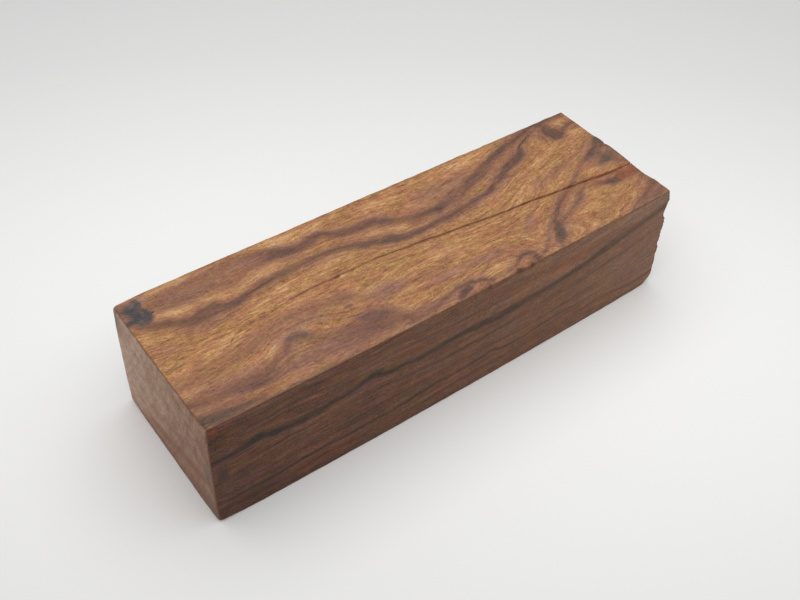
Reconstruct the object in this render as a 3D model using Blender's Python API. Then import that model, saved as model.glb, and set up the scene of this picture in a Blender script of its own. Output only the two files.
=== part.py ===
"""Arizona ironwood block: one sawn, slightly tapered billet of desert ironwood, about 130 mm long.

It is one solid, lying on its flat bottom face at z = 0. The grain runs along X, from the smooth end
at -X to the rough sawn end at +X, and the front long face looks towards -Y. Sizes are in millimetres
until the last step, which turns them into metres.
"""

import math

import bmesh
import bpy
import numpy as np

NODE = "ironwood_block"

# Size of the block. Width is across the top and height is at the middle of the length.
LENGTH = 130.0
WIDTH = 41.1
HEIGHT = 31.1

# How the saw cuts wander from a true box
WIDTH_TAPER = 2.06
HEIGHT_TAPER = 0.65
FOOT_FLARE = 0.23
CENTRE_SWAY = 0.32
FRONT_BOW = 0.69
END_LEAN_UP = 0.12
END_LEAN_ACROSS = 0.17

# Edges: all are eased a little, and the corners of the smooth end are worn rounder
EDGE_EASE = 0.35
WORN_EASE = 1.1
WORN_REACH = 5.0
FINEST_ROW = 0.15

# The drying crack, open at the rough end: (place along the block, place across it)
CRACK_LINE = ((-20.0, 1.3), (-3.7, 0.8), (9.7, -1.0), (33.0, -3.3), (48.0, -4.7), (58.0, -6.2), (65.0, -6.3))
CRACK_ROW = -2.5
CRACK_START = -20.0
CRACK_WIDTH = (0.12, 0.55)
CRACK_DEPTH = (0.15, 1.8)
CRACK_DROP = 9.0
SAME_ROW = 1e-3

# The rough sawn end
SAW_PITCH = 2.4
SAW_DEPTH = 0.22
SAW_SLANT = 0.12
END_WANDER = 0.16
END_WAVE = 11.0
LIP_HEIGHT = 4.6
LIP_OUT = 0.45
NOTCH_IN = 0.35
NOTCH_HEIGHT = 4.6
LIP_REACH = 14.0

# The broken lower front corner of the rough end: how far the break reaches along each edge
BREAK = (2.8, 3.6, 2.8)
BREAK_ROUGH = 0.12
BREAK_WAVE = 2.5

# Chips along the top front edge: (place along the block, radius of the scoop, how deep it bites)
CHIPS = ((-31.0, 1.9, 0.35), (8.2, 1.6, 0.5), (16.4, 1.9, 0.75), (20.3, 1.3, 0.5), (43.0, 1.6, 0.3))

# Rows of the mesh
ALONG_STEP = 5.0
ACROSS_STEP = 3.4
UP_STEP = 1.2
CHIP_ROWS = (-0.85, -0.4, 0.0, 0.4, 0.85)
FLAT_ANGLE = math.radians(0.3)

WOOD_COLOUR = (0.3, 0.15, 0.075, 1.0)
WOOD_ROUGHNESS = 0.55


def edge_rows(half, reach):
    """Rows close to both edges of a face that is 2 * half wide: finest in the eased edge itself."""
    near = [FINEST_ROW, EDGE_EASE, WORN_EASE, 0.5 * reach, reach]
    return [half - d for d in near] + [d - half for d in near]


def even_rows(half, step, margin):
    """Rows at about this step over a face, leaving this margin free at each edge."""
    count = round(2 * (half - margin) / step)
    return list(np.linspace(margin - half, half - margin, count + 1)[1:-1])


def along_rows():
    """Places of the rows that cross the block, with extra ones at each chip."""
    rows = edge_rows(LENGTH / 2, BREAK[0]) + even_rows(LENGTH / 2, ALONG_STEP, BREAK[0])
    for place, radius, _ in CHIPS:
        rows = [r for r in rows if abs(r - place) > 1.2 * radius]
        rows += [place + radius * share for share in CHIP_ROWS]
    return sorted(rows)


def across_rows():
    """Places of the rows that run along the block over its top: three of them follow the crack."""
    rows = edge_rows(WIDTH / 2, BREAK[1]) + even_rows(WIDTH / 2, ACROSS_STEP, BREAK[1])
    rows = [r for r in rows if abs(r - CRACK_ROW) > 0.5]
    return sorted(rows + [CRACK_ROW - CRACK_WIDTH[1], CRACK_ROW, CRACK_ROW + CRACK_WIDTH[1]])


def up_rows():
    """Heights of the rows round the block."""
    half = HEIGHT / 2
    rows = edge_rows(half, BREAK[2]) + even_rows(half, UP_STEP, BREAK[2])
    return sorted(r + half for r in rows)


def box_in_rows():
    """A closed box of the nominal size, with its faces cut into rows along each axis."""
    bm = bmesh.new()
    bmesh.ops.create_cube(bm, size=1.0)
    bmesh.ops.scale(bm, vec=(LENGTH, WIDTH, HEIGHT), verts=bm.verts)
    bmesh.ops.translate(bm, vec=(0.0, 0.0, HEIGHT / 2), verts=bm.verts)
    for axis, rows in enumerate((along_rows(), across_rows(), up_rows())):
        normal = [0.0, 0.0, 0.0]
        normal[axis] = 1.0
        for place in rows:
            bmesh.ops.bisect_plane(
                bm,
                geom=bm.verts[:] + bm.edges[:] + bm.faces[:],
                dist=1e-4,
                plane_co=[place * n for n in normal],
                plane_no=normal,
            )
    return bm


def smoothstep(low, high, value):
    """0 below low, 1 above high, and a smooth S between them."""
    t = np.clip((value - low) / (high - low), 0.0, 1.0)
    return t * t * (3.0 - 2.0 * t)


def ripple(a, b, wavelength, seed, waves=7):
    """Gentle unevenness over two coordinates: a sum of sine waves in seeded directions, about 1 high."""
    rng = np.random.default_rng(seed)
    heading = rng.uniform(0.0, math.tau, waves)
    phase = rng.uniform(0.0, math.tau, waves)
    length = wavelength * rng.uniform(0.6, 1.5, waves)
    run = np.multiply.outer(a, np.cos(heading)) + np.multiply.outer(b, np.sin(heading))
    return np.sin(math.tau * run / length + phase).sum(axis=-1) / math.sqrt(waves)


def eased(p):
    """The box with its edges rounded, and the outward direction at each point.

    Each point is drawn in to a smaller box and set back out by the edge radius, which grows towards the
    corners of the smooth end.
    """
    half = np.array((LENGTH / 2, WIDTH / 2, HEIGHT / 2))
    centred = p - (0.0, 0.0, HEIGHT / 2)
    to_corner = np.linalg.norm(np.abs(centred) - half, axis=1) + LENGTH * (p[:, 0] > 0)
    worn = np.exp(-((to_corner / WORN_REACH) ** 2))
    radius = (EDGE_EASE + (WORN_EASE - EDGE_EASE) * worn)[:, None]
    inner = np.clip(centred, radius - half, half - radius)
    outward = centred - inner
    outward /= np.linalg.norm(outward, axis=1, keepdims=True)
    return inner + outward * radius + (0.0, 0.0, HEIGHT / 2), outward


def add_crack(p, outward, row):
    """Bends the crack's three rows along its line and sinks the middle one into the block.

    Row is where each point lay across the plain box. The rows between the crack and each long face share
    the bend, less and less, so that none cross. The groove widens and deepens towards the rough end, and
    runs out down that end.
    """
    side = row - CRACK_ROW
    middle = np.abs(side) < SAME_ROW
    lip = ~middle & (np.abs(side) < CRACK_WIDTH[1] + SAME_ROW)
    to_face = WIDTH / 2 - CRACK_ROW * np.sign(side)
    share = (1.0 - np.clip(np.abs(side) / to_face, 0.0, 1.0)) * p[:, 2] / HEIGHT
    along, across = np.array(CRACK_LINE).T
    bend = np.interp(p[:, 0], along, across) - CRACK_ROW
    growth = smoothstep(CRACK_START, LENGTH / 2, p[:, 0])
    width = CRACK_WIDTH[0] + (CRACK_WIDTH[1] - CRACK_WIDTH[0]) * growth
    down_end = smoothstep(HEIGHT - CRACK_DROP, HEIGHT - 0.3 * CRACK_DROP, p[:, 2])
    depth = (CRACK_DEPTH[0] + (CRACK_DEPTH[1] - CRACK_DEPTH[0]) * growth) * down_end
    depth *= middle & (p[:, 0] > CRACK_START)
    bent = p - outward * depth[:, None]
    bent[:, 1] += share * bend + lip * np.sign(side) * (width / 2 - CRACK_WIDTH[1])
    return bent


def roughen_end(p, outward):
    """Moves the +X end in and out: saw ridges, slow wander, and a lip over a notch near the front."""
    y, z = p[:, 1], p[:, 2]
    on_end = np.clip(outward[:, 0], 0.0, 1.0)
    phase = (z + SAW_SLANT * y) / SAW_PITCH
    ridge = np.abs(2.0 * (phase - np.floor(phase)) - 1.0) - 0.5
    from_top = HEIGHT - z
    front = 1.0 - smoothstep(0.0, LIP_REACH, y + WIDTH / 2)
    lip = 1.0 - smoothstep(0.6 * LIP_HEIGHT, LIP_HEIGHT, from_top)
    notch = smoothstep(0.8 * LIP_HEIGHT, LIP_HEIGHT, from_top)
    notch *= 1.0 - smoothstep(0.7, 1.0, (from_top - LIP_HEIGHT) / NOTCH_HEIGHT)
    out = SAW_DEPTH * ridge + END_WANDER * ripple(y, z, END_WAVE, seed=11)
    out += front * (LIP_OUT * lip - NOTCH_IN * notch)
    moved = p.copy()
    moved[:, 0] += on_end * out
    return moved


def break_corner(p):
    """Cuts the lower front corner of the rough end back to an uneven slanting plane."""
    corner = np.array((LENGTH / 2, -WIDTH / 2, 0.0))
    slope = np.array((1.0, -1.0, -1.0)) / BREAK
    steepness = np.linalg.norm(slope)
    excess = np.clip((1.0 + (p - corner) @ slope) / steepness, 0.0, None)
    uneven = BREAK_ROUGH * np.abs(ripple(p[:, 1], p[:, 2], BREAK_WAVE, seed=4))
    return p - (excess + np.minimum(excess, uneven))[:, None] * slope / steepness


def chip_edge(p):
    """Scoops the chips out of the top front edge: points inside a sphere are pushed out to its surface."""
    for place, radius, bite in CHIPS:
        off = (radius - bite) / math.sqrt(2.0)
        centre = np.array((place, -WIDTH / 2 - off, HEIGHT + off))
        from_centre = p - centre
        distance = np.linalg.norm(from_centre, axis=1, keepdims=True)
        pushed = centre + from_centre * radius / np.maximum(distance, 1e-6)
        p = np.where(distance < radius, pushed, p)
    return p


def wander(p):
    """Turns the true box into the sawn one: tapered, wider at the foot, and bowed out in front."""
    along = p[:, 0] / LENGTH
    across = p[:, 1] / WIDTH
    up = p[:, 2] / HEIGHT
    left = 0.5 - along
    x = p[:, 0] + left * (END_LEAN_UP * (up - 0.5) + END_LEAN_ACROSS * across)
    y = p[:, 1] - WIDTH_TAPER * along * across + 2.0 * FOOT_FLARE * across * (1.0 - up)
    y += CENTRE_SWAY * along - FRONT_BOW * (1.0 - 4.0 * along**2) * (0.5 - across)
    z = p[:, 2] - HEIGHT_TAPER * along * up
    return np.stack((x, y, z), axis=1)


def centred_on_foot(p):
    """Puts the middle of the bounding box over the origin and the bottom face at z = 0."""
    low, high = p.min(axis=0), p.max(axis=0)
    return p - (*(low + high)[:2] / 2, low[2])


def shaped(p):
    """Every step from the plain box to the finished block, in millimetres."""
    q, outward = eased(p)
    q = add_crack(q, outward, p[:, 1])
    q = roughen_end(q, outward)
    q = break_corner(q)
    q = chip_edge(q)
    return centred_on_foot(wander(q))


def wood():
    """The oiled look of the block as one plain colour."""
    material = bpy.data.materials.new("ironwood")
    material.use_nodes = True
    shader = material.node_tree.nodes["Principled BSDF"]
    shader.inputs["Base Color"].default_value = WOOD_COLOUR
    shader.inputs["Roughness"].default_value = WOOD_ROUGHNESS
    shader.inputs["Metallic"].default_value = 0.0
    material.diffuse_color = WOOD_COLOUR
    return material


def make_block():
    """Builds the block's mesh and adds it to the scene as one object."""
    bm = box_in_rows()
    corners = np.array([v.co for v in bm.verts])
    for vertex, place in zip(bm.verts, shaped(corners)):
        vertex.co = place
    bmesh.ops.dissolve_limit(bm, angle_limit=FLAT_ANGLE, verts=bm.verts, edges=bm.edges)
    bmesh.ops.triangulate(bm, faces=bm.faces)
    bmesh.ops.scale(bm, vec=(0.001, 0.001, 0.001), verts=bm.verts)
    bmesh.ops.recalc_face_normals(bm, faces=bm.faces)
    mesh = bpy.data.meshes.new(NODE)
    bm.to_mesh(mesh)
    bm.free()
    mesh.materials.append(wood())
    block = bpy.data.objects.new(NODE, mesh)
    bpy.context.scene.collection.objects.link(block)
    return block


for old in list(bpy.data.objects):
    bpy.data.objects.remove(old)
make_block()
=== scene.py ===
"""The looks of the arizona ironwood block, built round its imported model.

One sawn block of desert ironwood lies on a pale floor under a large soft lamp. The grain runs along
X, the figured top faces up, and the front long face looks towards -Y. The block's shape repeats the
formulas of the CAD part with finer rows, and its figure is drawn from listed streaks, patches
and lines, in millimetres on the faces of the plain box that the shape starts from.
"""

import math

import bpy
import numpy as np
from mathutils import Matrix, Vector


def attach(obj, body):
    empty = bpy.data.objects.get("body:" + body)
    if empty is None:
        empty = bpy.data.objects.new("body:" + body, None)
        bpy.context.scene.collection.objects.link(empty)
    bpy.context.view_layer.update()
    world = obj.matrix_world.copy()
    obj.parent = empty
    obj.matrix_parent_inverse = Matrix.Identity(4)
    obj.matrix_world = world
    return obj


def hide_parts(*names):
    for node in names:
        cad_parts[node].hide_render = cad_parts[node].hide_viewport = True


MM = 0.001

# Size of the plain box, and how the saw cuts wander from it, as in the CAD part
LENGTH = 130.0
WIDTH = 41.1
HEIGHT = 31.1
WIDTH_TAPER = 2.06
HEIGHT_TAPER = 0.65
FOOT_FLARE = 0.23
CENTRE_SWAY = 0.32
FRONT_BOW = 0.69
END_LEAN_UP = 0.12
END_LEAN_ACROSS = 0.17

# Edges, and the worn corners of the smooth end
EDGE_EASE = 0.35
WORN_EASE = 1.1
WORN_REACH = 5.0
EASE_RAGGED = 0.25
EASE_WAVE = 4.5
EASE_LIMITS = (0.3, 2.0)

# The drying crack: (place along the block, place across it)
CRACK_LINE = (
    (-35.5, 0.4), (-30, 1), (-25, 1.3), (-20, 1.2), (-15, 1.3), (-10, 1.2), (-5, 0.9), (0, 0.3),
    (5, -0.15), (10, -0.95), (15, -1.45), (20, -2.1), (25, -2.65), (30, -3), (35, -3.45), (40, -4.15),
    (45, -4.65), (50, -5.2), (54, -5.8), (58, -6.25), (65, -6.4),
)
CRACK_ROW = -2.5
CRACK_START = -20.0
CRACK_WIDTH = (0.12, 0.55)
CRACK_DEPTH = (0.15, 1.8)
CRACK_DROP = 9.0
CRACK_FULL = 2.7
CRACK_WIGGLE = 0.07
CRACK_WIGGLE_WAVE = 3.1
CRACK_CLOSING = 6.0
CRACK_SHUT = 0.8
CRACK_SHUT_REACH = 2.0

# The rough sawn end
SAW_PITCH = 1.2
SAW_DEPTH = 0.2
SAW_SLANT = 0.12
SAW_WAVER = 0.25
SAW_WAVER_WAVE = 9.0
END_WANDER = 0.16
END_WAVE = 11.0
LIP_REACH = 14.0
LIP_PROFILE = (
    (0, 0.1), (1.8, 0.55), (3.5, 1.1), (4.7, 0.75), (5.9, 0.3), (7.4, -0.25), (8.3, 0.15), (9.3, 0.8),
    (11.2, 1.05), (12.2, 0.9), (13.6, 0.5), (15.6, 0.8), (17.5, 0.1), (18.7, 0.65), (20, 0.5),
    (21.3, 0.25), (23.6, 0.75), (25.8, 0.5), (28, 0.6), (31, 0.55),
)
CREST_DROP = (6.0, 1.0)
CREST_PROFILE = (
    (-21, 0), (-16.3, 0), (-14.5, 0.3), (-12.5, 0.1), (-10.5, 0), (-6.9, 0), (-6.3, 0.3), (-2.6, 0.5),
    (0.8, 0.42), (2.7, 0.42), (3.4, 0.05), (3.9, 0.15), (4.4, 0.35), (6.6, 0.35), (8, 0.25), (9.5, 0.05),
    (21, 0.1),
)
END_GRIT = 0.05
END_GRIT_WAVE = 1.1

# The broken lower front corner of the rough end: how far the break reaches along each edge
BREAK = (1.9, 2.5, 1.9)
BREAK_ROUGH = 0.12
BREAK_WAVE = 2.5
BREAK_SOFT = 0.45
BREAK_REACH = 1.8

# Chips along the top front edge: (place along the block, radius of the scoop, how deep it bites)
CHIPS = (
    (-31, 1.9, 0.35), (7.4, 1.5, 0.6), (16.1, 1.8, 0.85), (19.8, 1.4, 0.6), (43, 1.6, 0.3),
)
NIBBLES = 56
NIBBLE_SIZE = (0.4, 1.2)
NIBBLE_BITE = (0.04, 0.16)

# Slight hollows of the planed faces
FACE_HOLLOW = 0.035
FACE_WAVE = 9.0
HOLLOW_STRETCH = 2.0
HOLLOW_CLIMB = 1.7
FACES_DOWN = -0.2

# Rows of the mesh
ALONG_STEP = 0.66
ACROSS_STEP = 0.47
UP_STEP = 0.36
EDGE_ROWS = (0.0, 0.12, 0.3, 0.6, 1.05)
CRACK_ROWS = (-0.55, -0.275, 0.0, 0.275, 0.55)
ROW_CLEARANCE = 0.3

# The middle of the shaped block in the plain box's frame, which becomes the middle of the part's frame
FOOT_MIDDLE = (0.32617, -0.25582, 0.0)

# The camera of the photograph: the floor point that it looks at, in the plain box's frame, and its stance
LOOKS_AT = (-1.677, 13.3938)
CAMERA_DISTANCE = 292.7292
CAMERA_PITCH = 0.7846
CAMERA_ROLL = 0.0303
BLOCK_TURN = 0.6476
FOCAL_PIXELS = 1130.4285
IMAGE_WIDTH = 800
SENSOR_WIDTH = 36.0
CLIP = (0.01, 20.0)

# Streaks of the top face. Each has a name, the growth layer that it follows (or None), how soft its sides
# are, how green-black it is, and marks: (along, across, half width, darkness)
TOP_STREAKS = (
    ("long streak", 7.5, 0.5, 0.3, (
        (-63.6, 12, 0.6, 0.5), (-61.8, 10.8, 0.9, 0.65), (-59.5, 9.8, 1, 0.7), (-57.3, 8.8, 1.1, 0.72),
        (-54.9, 7.6, 1.2, 0.72), (-52.2, 6.8, 1.4, 0.75), (-49.6, 7.2, 1.8, 0.7), (-46.8, 7.5, 1.8, 0.7),
        (-43.8, 6.6, 1.2, 0.75), (-40.3, 7, 0.8, 0.7), (-37.8, 7.7, 0.7, 0.68), (-34.9, 8.2, 0.9, 0.75),
        (-31.6, 8.6, 0.9, 0.75), (-27.4, 8.8, 0.9, 0.75), (-23, 8.9, 0.85, 0.7), (-19.5, 8.8, 0.8, 0.65),
        (-15.3, 8.6, 0.85, 0.62), (-11.6, 7.8, 1, 0.75), (-8.2, 6.5, 1.15, 0.75), (-5.3, 5.7, 1.2, 0.78),
        (-2, 4.7, 1.25, 0.82), (0.1, 3.7, 1.1, 0.8), (3, 3.2, 0.9, 0.78), (7.2, 3.2, 0.8, 0.8),
        (11.8, 3.4, 0.9, 0.75), (15.9, 3.4, 1.1, 0.7), (19.7, 3.9, 0.9, 0.7), (23.8, 4.5, 0.75, 0.8),
        (28, 5.1, 0.75, 0.9), (30.1, 6.1, 0.7, 0.85), (32.2, 7.2, 0.9, 0.82), (35, 8.4, 1.15, 0.84),
        (37.6, 9.9, 1.15, 0.84), (40.5, 10.9, 1.35, 0.86), (43.4, 12, 1.4, 0.84), (45.1, 13.8, 0.8, 0.8),
        (46.3, 15.1, 0.4, 0.75), (48.8, 16.3, 0.3, 0.8), (51.3, 17.5, 0.3, 0.7), (54, 18.3, 0.3, 0.4),
    )),
    ("second streak", 12.5, 0.6, 0.3, (
        (-27.5, 15.6, 1.4, 0.5), (-23.7, 14.2, 1.2, 0.65), (-19.5, 14.1, 1.4, 0.72),
        (-15.3, 15, 0.8, 0.8), (-12, 13.2, 1, 0.75), (-9.1, 12.4, 1.2, 0.8), (-5.8, 12, 1.25, 0.78),
        (-2.8, 12, 1.3, 0.84), (-0.3, 10.8, 1.3, 0.8), (1.8, 9.6, 1.1, 0.7), (4.7, 8.3, 1.1, 0.6),
        (8, 7.6, 1.2, 0.7), (11.8, 7.4, 1.2, 0.75), (13.8, 7.1, 1.2, 0.7), (16.3, 7.8, 1.4, 0.62),
        (19.8, 8.7, 1.8, 0.56), (23.8, 9.7, 1.7, 0.64), (27.2, 10.9, 1.5, 0.72), (30.1, 11.8, 1.5, 0.73),
        (32.2, 12.8, 1.5, 0.68), (35.1, 14.2, 1.2, 0.7), (38, 15.3, 1.1, 0.8), (40.5, 16.2, 1.1, 0.88),
        (43, 17, 1, 0.85), (46.3, 17.8, 0.9, 0.85), (49.7, 18.8, 0.8, 0.85), (53, 19.7, 0.7, 0.85),
        (56.3, 20, 0.7, 0.8), (59.7, 19.9, 0.6, 0.75), (65, 20.1, 0.6, 0.75),
    )),
    ("mottled band, upper", 17, 1.6, 0.1, (
        (-60, 16, 0.8, 0.25), (-55, 16.6, 1.2, 0.4), (-50, 16.8, 1.3, 0.42), (-45, 17.2, 1.2, 0.45),
        (-40.5, 17.6, 1.4, 0.3), (-37, 18.1, 1, 0.38), (-33, 17.6, 1.2, 0.5), (-30, 16.4, 1.4, 0.55),
        (-27, 15.4, 1.2, 0.55), (-24, 14.6, 1, 0.5),
    )),
    ("mottled band, lower", 12.5, 1.4, 0.15, (
        (-58, 14.6, 0.7, 0.3), (-54, 13.8, 1, 0.4), (-51, 13.5, 1.1, 0.42), (-47, 13.4, 1, 0.36),
        (-43, 13.2, 1.1, 0.38), (-40, 12.4, 1.1, 0.4), (-38, 12, 0.7, 0.35), (-34, 13.6, 0.7, 0.4),
        (-30, 14, 0.7, 0.45), (-26, 13.8, 0.9, 0.5), (-22, 13.4, 0.8, 0.5),
    )),
    ("branch into the corner", None, 0.5, 0.4, (
        (13.8, 7.2, 0.8, 0.6), (13.2, 6.2, 0.4, 0.5),
    )),
    ("hooked streak", 4, 0.5, 0.3, (
        (56.3, 18.6, 1.2, 0.5), (56.3, 16.4, 1.9, 0.75), (56.6, 14.4, 2.3, 0.85), (57.2, 13, 1.8, 0.85),
        (59, 13.8, 1.1, 0.8), (60.9, 14.6, 0.8, 0.75), (62.8, 15.1, 0.7, 0.75), (65.2, 15.6, 0.7, 0.7),
    )),
    ("soft red band", -6.5, 1.5, 0, (
        (-65.4, -8.4, 1.5, 0.35), (-60, -8.1, 1.4, 0.38), (-56, -7.8, 1.3, 0.36), (-52, -7.2, 1.2, 0.36),
        (-47.5, -6.3, 1.2, 0.42), (-43.5, -5.1, 1.2, 0.4), (-40, -4.3, 1.3, 0.4), (-35, -3.7, 1.4, 0.42),
        (-30, -4, 1.4, 0.38), (-26, -4.8, 1.4, 0.36), (-22, -5.2, 1.8, 0.42), (-18.5, -6, 1.2, 0.2),
    )),
    ("lower streak", -13.5, 1, 0.1, (
        (-65.3, -13.4, 1.2, 0.72), (-62, -13.8, 1.4, 0.76), (-58.5, -14.1, 1.4, 0.62),
        (-55, -14.3, 1.6, 0.66), (-52, -14.7, 1.7, 0.65), (-49.5, -14.8, 1.9, 0.7),
        (-47, -14.2, 1.7, 0.65), (-44.2, -13, 1.2, 0.65), (-41.8, -11.8, 1, 0.65),
        (-40.2, -10.6, 0.8, 0.75), (-38.8, -9.5, 0.7, 0.75), (-36.8, -8.4, 0.6, 0.5),
        (-34.8, -8.9, 0.6, 0.5), (-33.8, -10.6, 0.8, 0.55), (-32.3, -12.4, 1.1, 0.55),
        (-29.5, -13.4, 1.3, 0.55), (-26, -13.9, 1.5, 0.55), (-22.6, -13.6, 1.9, 0.65),
        (-19.6, -13.4, 2.3, 0.72), (-16.6, -14.2, 1.8, 0.68), (-14.6, -15.9, 1.1, 0.5),
        (-13.2, -17.6, 0.8, 0.35),
    )),
    ("under the lower streak", -17, 0.8, 0.1, (
        (-53.5, -16, 0.5, 0.45), (-49.5, -16.4, 0.8, 0.55), (-45, -16.4, 0.7, 0.4), (-40, -16, 0.8, 0.35),
        (-34, -16.2, 0.9, 0.4), (-29, -16.8, 1.6, 0.45), (-24, -16.7, 1.8, 0.5), (-19.5, -16.9, 1.6, 0.6),
        (-15.5, -17.6, 1.1, 0.55), (-11, -18, 0.9, 0.4), (-6, -18.4, 0.8, 0.35),
    )),
    ("grey front strip", -19, 0.6, 0.75, (
        (-65.3, -18.4, 1.3, 0.85), (-62, -18.6, 1.3, 0.82), (-58.5, -19, 1.1, 0.76),
        (-55, -19.3, 0.9, 0.7), (-51.5, -19.6, 0.7, 0.6), (-48, -20.1, 0.5, 0.45), (-36, -20.1, 0.4, 0.4),
        (-26, -19.8, 0.4, 0.3),
    )),
    ("front eye, rim", None, 0.15, 0.1, (
        (-14.5, -19.4, 0.6, 0.5), (-9.5, -19.3, 0.5, 0.45), (-6, -18.6, 0.5, 0.55),
        (-3.2, -17.7, 0.55, 0.7), (-0.4, -17.1, 0.5, 0.78), (2.6, -16.8, 0.55, 0.8),
        (5.2, -17.1, 0.6, 0.84), (7.2, -18.1, 0.6, 0.8), (8.6, -19.2, 0.6, 0.7), (11.5, -19.5, 0.4, 0.45),
        (14.5, -19.3, 0.35, 0.4),
    )),
    ("front eye, heart", None, 0.15, 0.2, (
        (-0.6, -19.4, 0.7, 0.75), (1.2, -18.8, 1, 0.9), (3.2, -18.1, 0.8, 0.85),
    )),
    ("right eye, loop", None, 0.15, 0.15, (
        (15, -18.9, 0.35, 0.5), (16.8, -18.4, 0.45, 0.7), (18.2, -17.3, 0.5, 0.85),
        (20.2, -16.8, 0.55, 0.9), (22.2, -17.3, 0.6, 0.85), (22.6, -18.6, 0.65, 0.8),
        (21.6, -19.8, 0.6, 0.75), (24.4, -19, 0.5, 0.5), (27, -18.6, 0.4, 0.4),
    )),
    ("heavy knot and its tail", -12.5, 0.4, 0.35, (
        (29.6, -19.8, 0.5, 0.4), (30.6, -18, 0.9, 0.6), (31.8, -16.5, 1.4, 0.72),
        (32.9, -14.9, 1.2, 0.74), (33.9, -12.9, 0.8, 0.7), (35.4, -11, 0.7, 0.65),
        (37.2, -9.8, 0.75, 0.65), (39.7, -7.9, 0.8, 0.7), (42.2, -6.4, 0.7, 0.55), (44.7, -5.3, 0.6, 0.5),
        (48, -3.6, 0.5, 0.5), (49.9, -2.2, 0.5, 0.5), (52.2, -0.8, 0.45, 0.4), (55.1, 0.5, 0.6, 0.36),
        (57.6, 1.7, 0.7, 0.42), (60, 2.9, 0.6, 0.55), (62.6, 4.6, 0.5, 0.6), (64.9, 6.4, 0.5, 0.65),
    )),
    ("second tail", -16.5, 0.5, 0.4, (
        (34.2, -14.2, 0.6, 0.6), (36.2, -13, 0.55, 0.6), (38.3, -12.3, 0.5, 0.5), (41, -11.2, 0.5, 0.5),
        (43.4, -10.1, 0.7, 0.62), (45.4, -8.9, 0.65, 0.62), (47.2, -7.5, 0.5, 0.5),
        (49, -6.6, 0.35, 0.35),
    )),
    ("line up to the knot", None, 0.45, 0.1, (
        (24.8, -19.3, 0.3, 0.4), (26.6, -17.9, 0.35, 0.5), (28.4, -16.3, 0.35, 0.5),
        (30.2, -14.4, 0.4, 0.5), (32.2, -12.6, 0.4, 0.4), (34.6, -10.2, 0.35, 0.3),
    )),
    ("corner streak", -24, 0.5, 0.25, (
        (53.2, -20.3, 0.6, 0.45), (56.5, -18.9, 0.8, 0.55), (59.4, -17.7, 0.9, 0.6),
        (62.2, -16.5, 1, 0.62), (65.2, -14.8, 1.1, 0.66),
    )),
    ("lower corner streak", -27.5, 0.55, 0.5, (
        (56, -20.6, 0.6, 0.5), (59.7, -20, 0.8, 0.52), (62.8, -19.3, 0.9, 0.52), (65.2, -18.3, 0.9, 0.5),
    )),
    ("faint right line", -19, 0.5, 0, (
        (41, -20.2, 0.25, 0.25), (45, -18.6, 0.3, 0.3), (48.8, -16.4, 0.3, 0.3), (51.8, -14.5, 0.3, 0.25),
        (56, -12.4, 0.3, 0.2), (61, -10.6, 0.3, 0.15),
    )),
    ("red line over the crack", -9, 0.5, 0, (
        (43.5, 0.4, 0.3, 0.25), (47, 1.8, 0.4, 0.35), (50.5, 2.8, 0.4, 0.35), (54, 3.7, 0.4, 0.25),
        (58, 5, 0.4, 0.3), (62, 7.2, 0.35, 0.25),
    )),
    ("end zone", None, 0.7, 0.4, (
        (57, 1, 0.6, 0.35), (59, 2.1, 1, 0.5), (61.2, 3, 1.4, 0.5), (63.2, 4.2, 1.8, 0.58),
        (65.2, 4.6, 2.4, 0.72),
    )),
    ("end zone, middle", None, 1, 0.4, (
        (57.6, -0.6, 0.6, 0.35), (60.2, -0.6, 1.5, 0.5), (62.6, -0.6, 1.9, 0.55), (65.2, -0.6, 1.7, 0.6),
    )),
    ("end zone, lower", None, 0.6, 0.4, (
        (57.6, -2.6, 0.5, 0.3), (60.6, -1.6, 0.9, 0.5), (62.4, -2.8, 0.8, 0.48), (64, -4.3, 0.8, 0.55),
        (65.3, -5.4, 0.8, 0.65),
    )),
    ("dark wood below the crack", None, 0.4, 0.2, (
        (51.6, -7.2, 0.4, 0.4), (53.4, -8.2, 0.8, 0.7), (55.4, -8.9, 1, 0.88), (57.2, -9.2, 1.1, 0.9),
        (59.2, -8.8, 1.3, 0.8), (61.5, -9.2, 1.3, 0.62), (65, -9.5, 1.2, 0.55),
    )),
    ("dark edge at the front", None, 0.25, 0.2, (
        (-65, -20.55, 0.2, 0.55), (-40, -20.6, 0.25, 0.55), (-15, -20.6, 0.2, 0.45),
        (10, -20.6, 0.15, 0.35), (35, -20.6, 0.15, 0.25), (62, -20.6, 0.05, 0.05),
    )),
)

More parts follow.
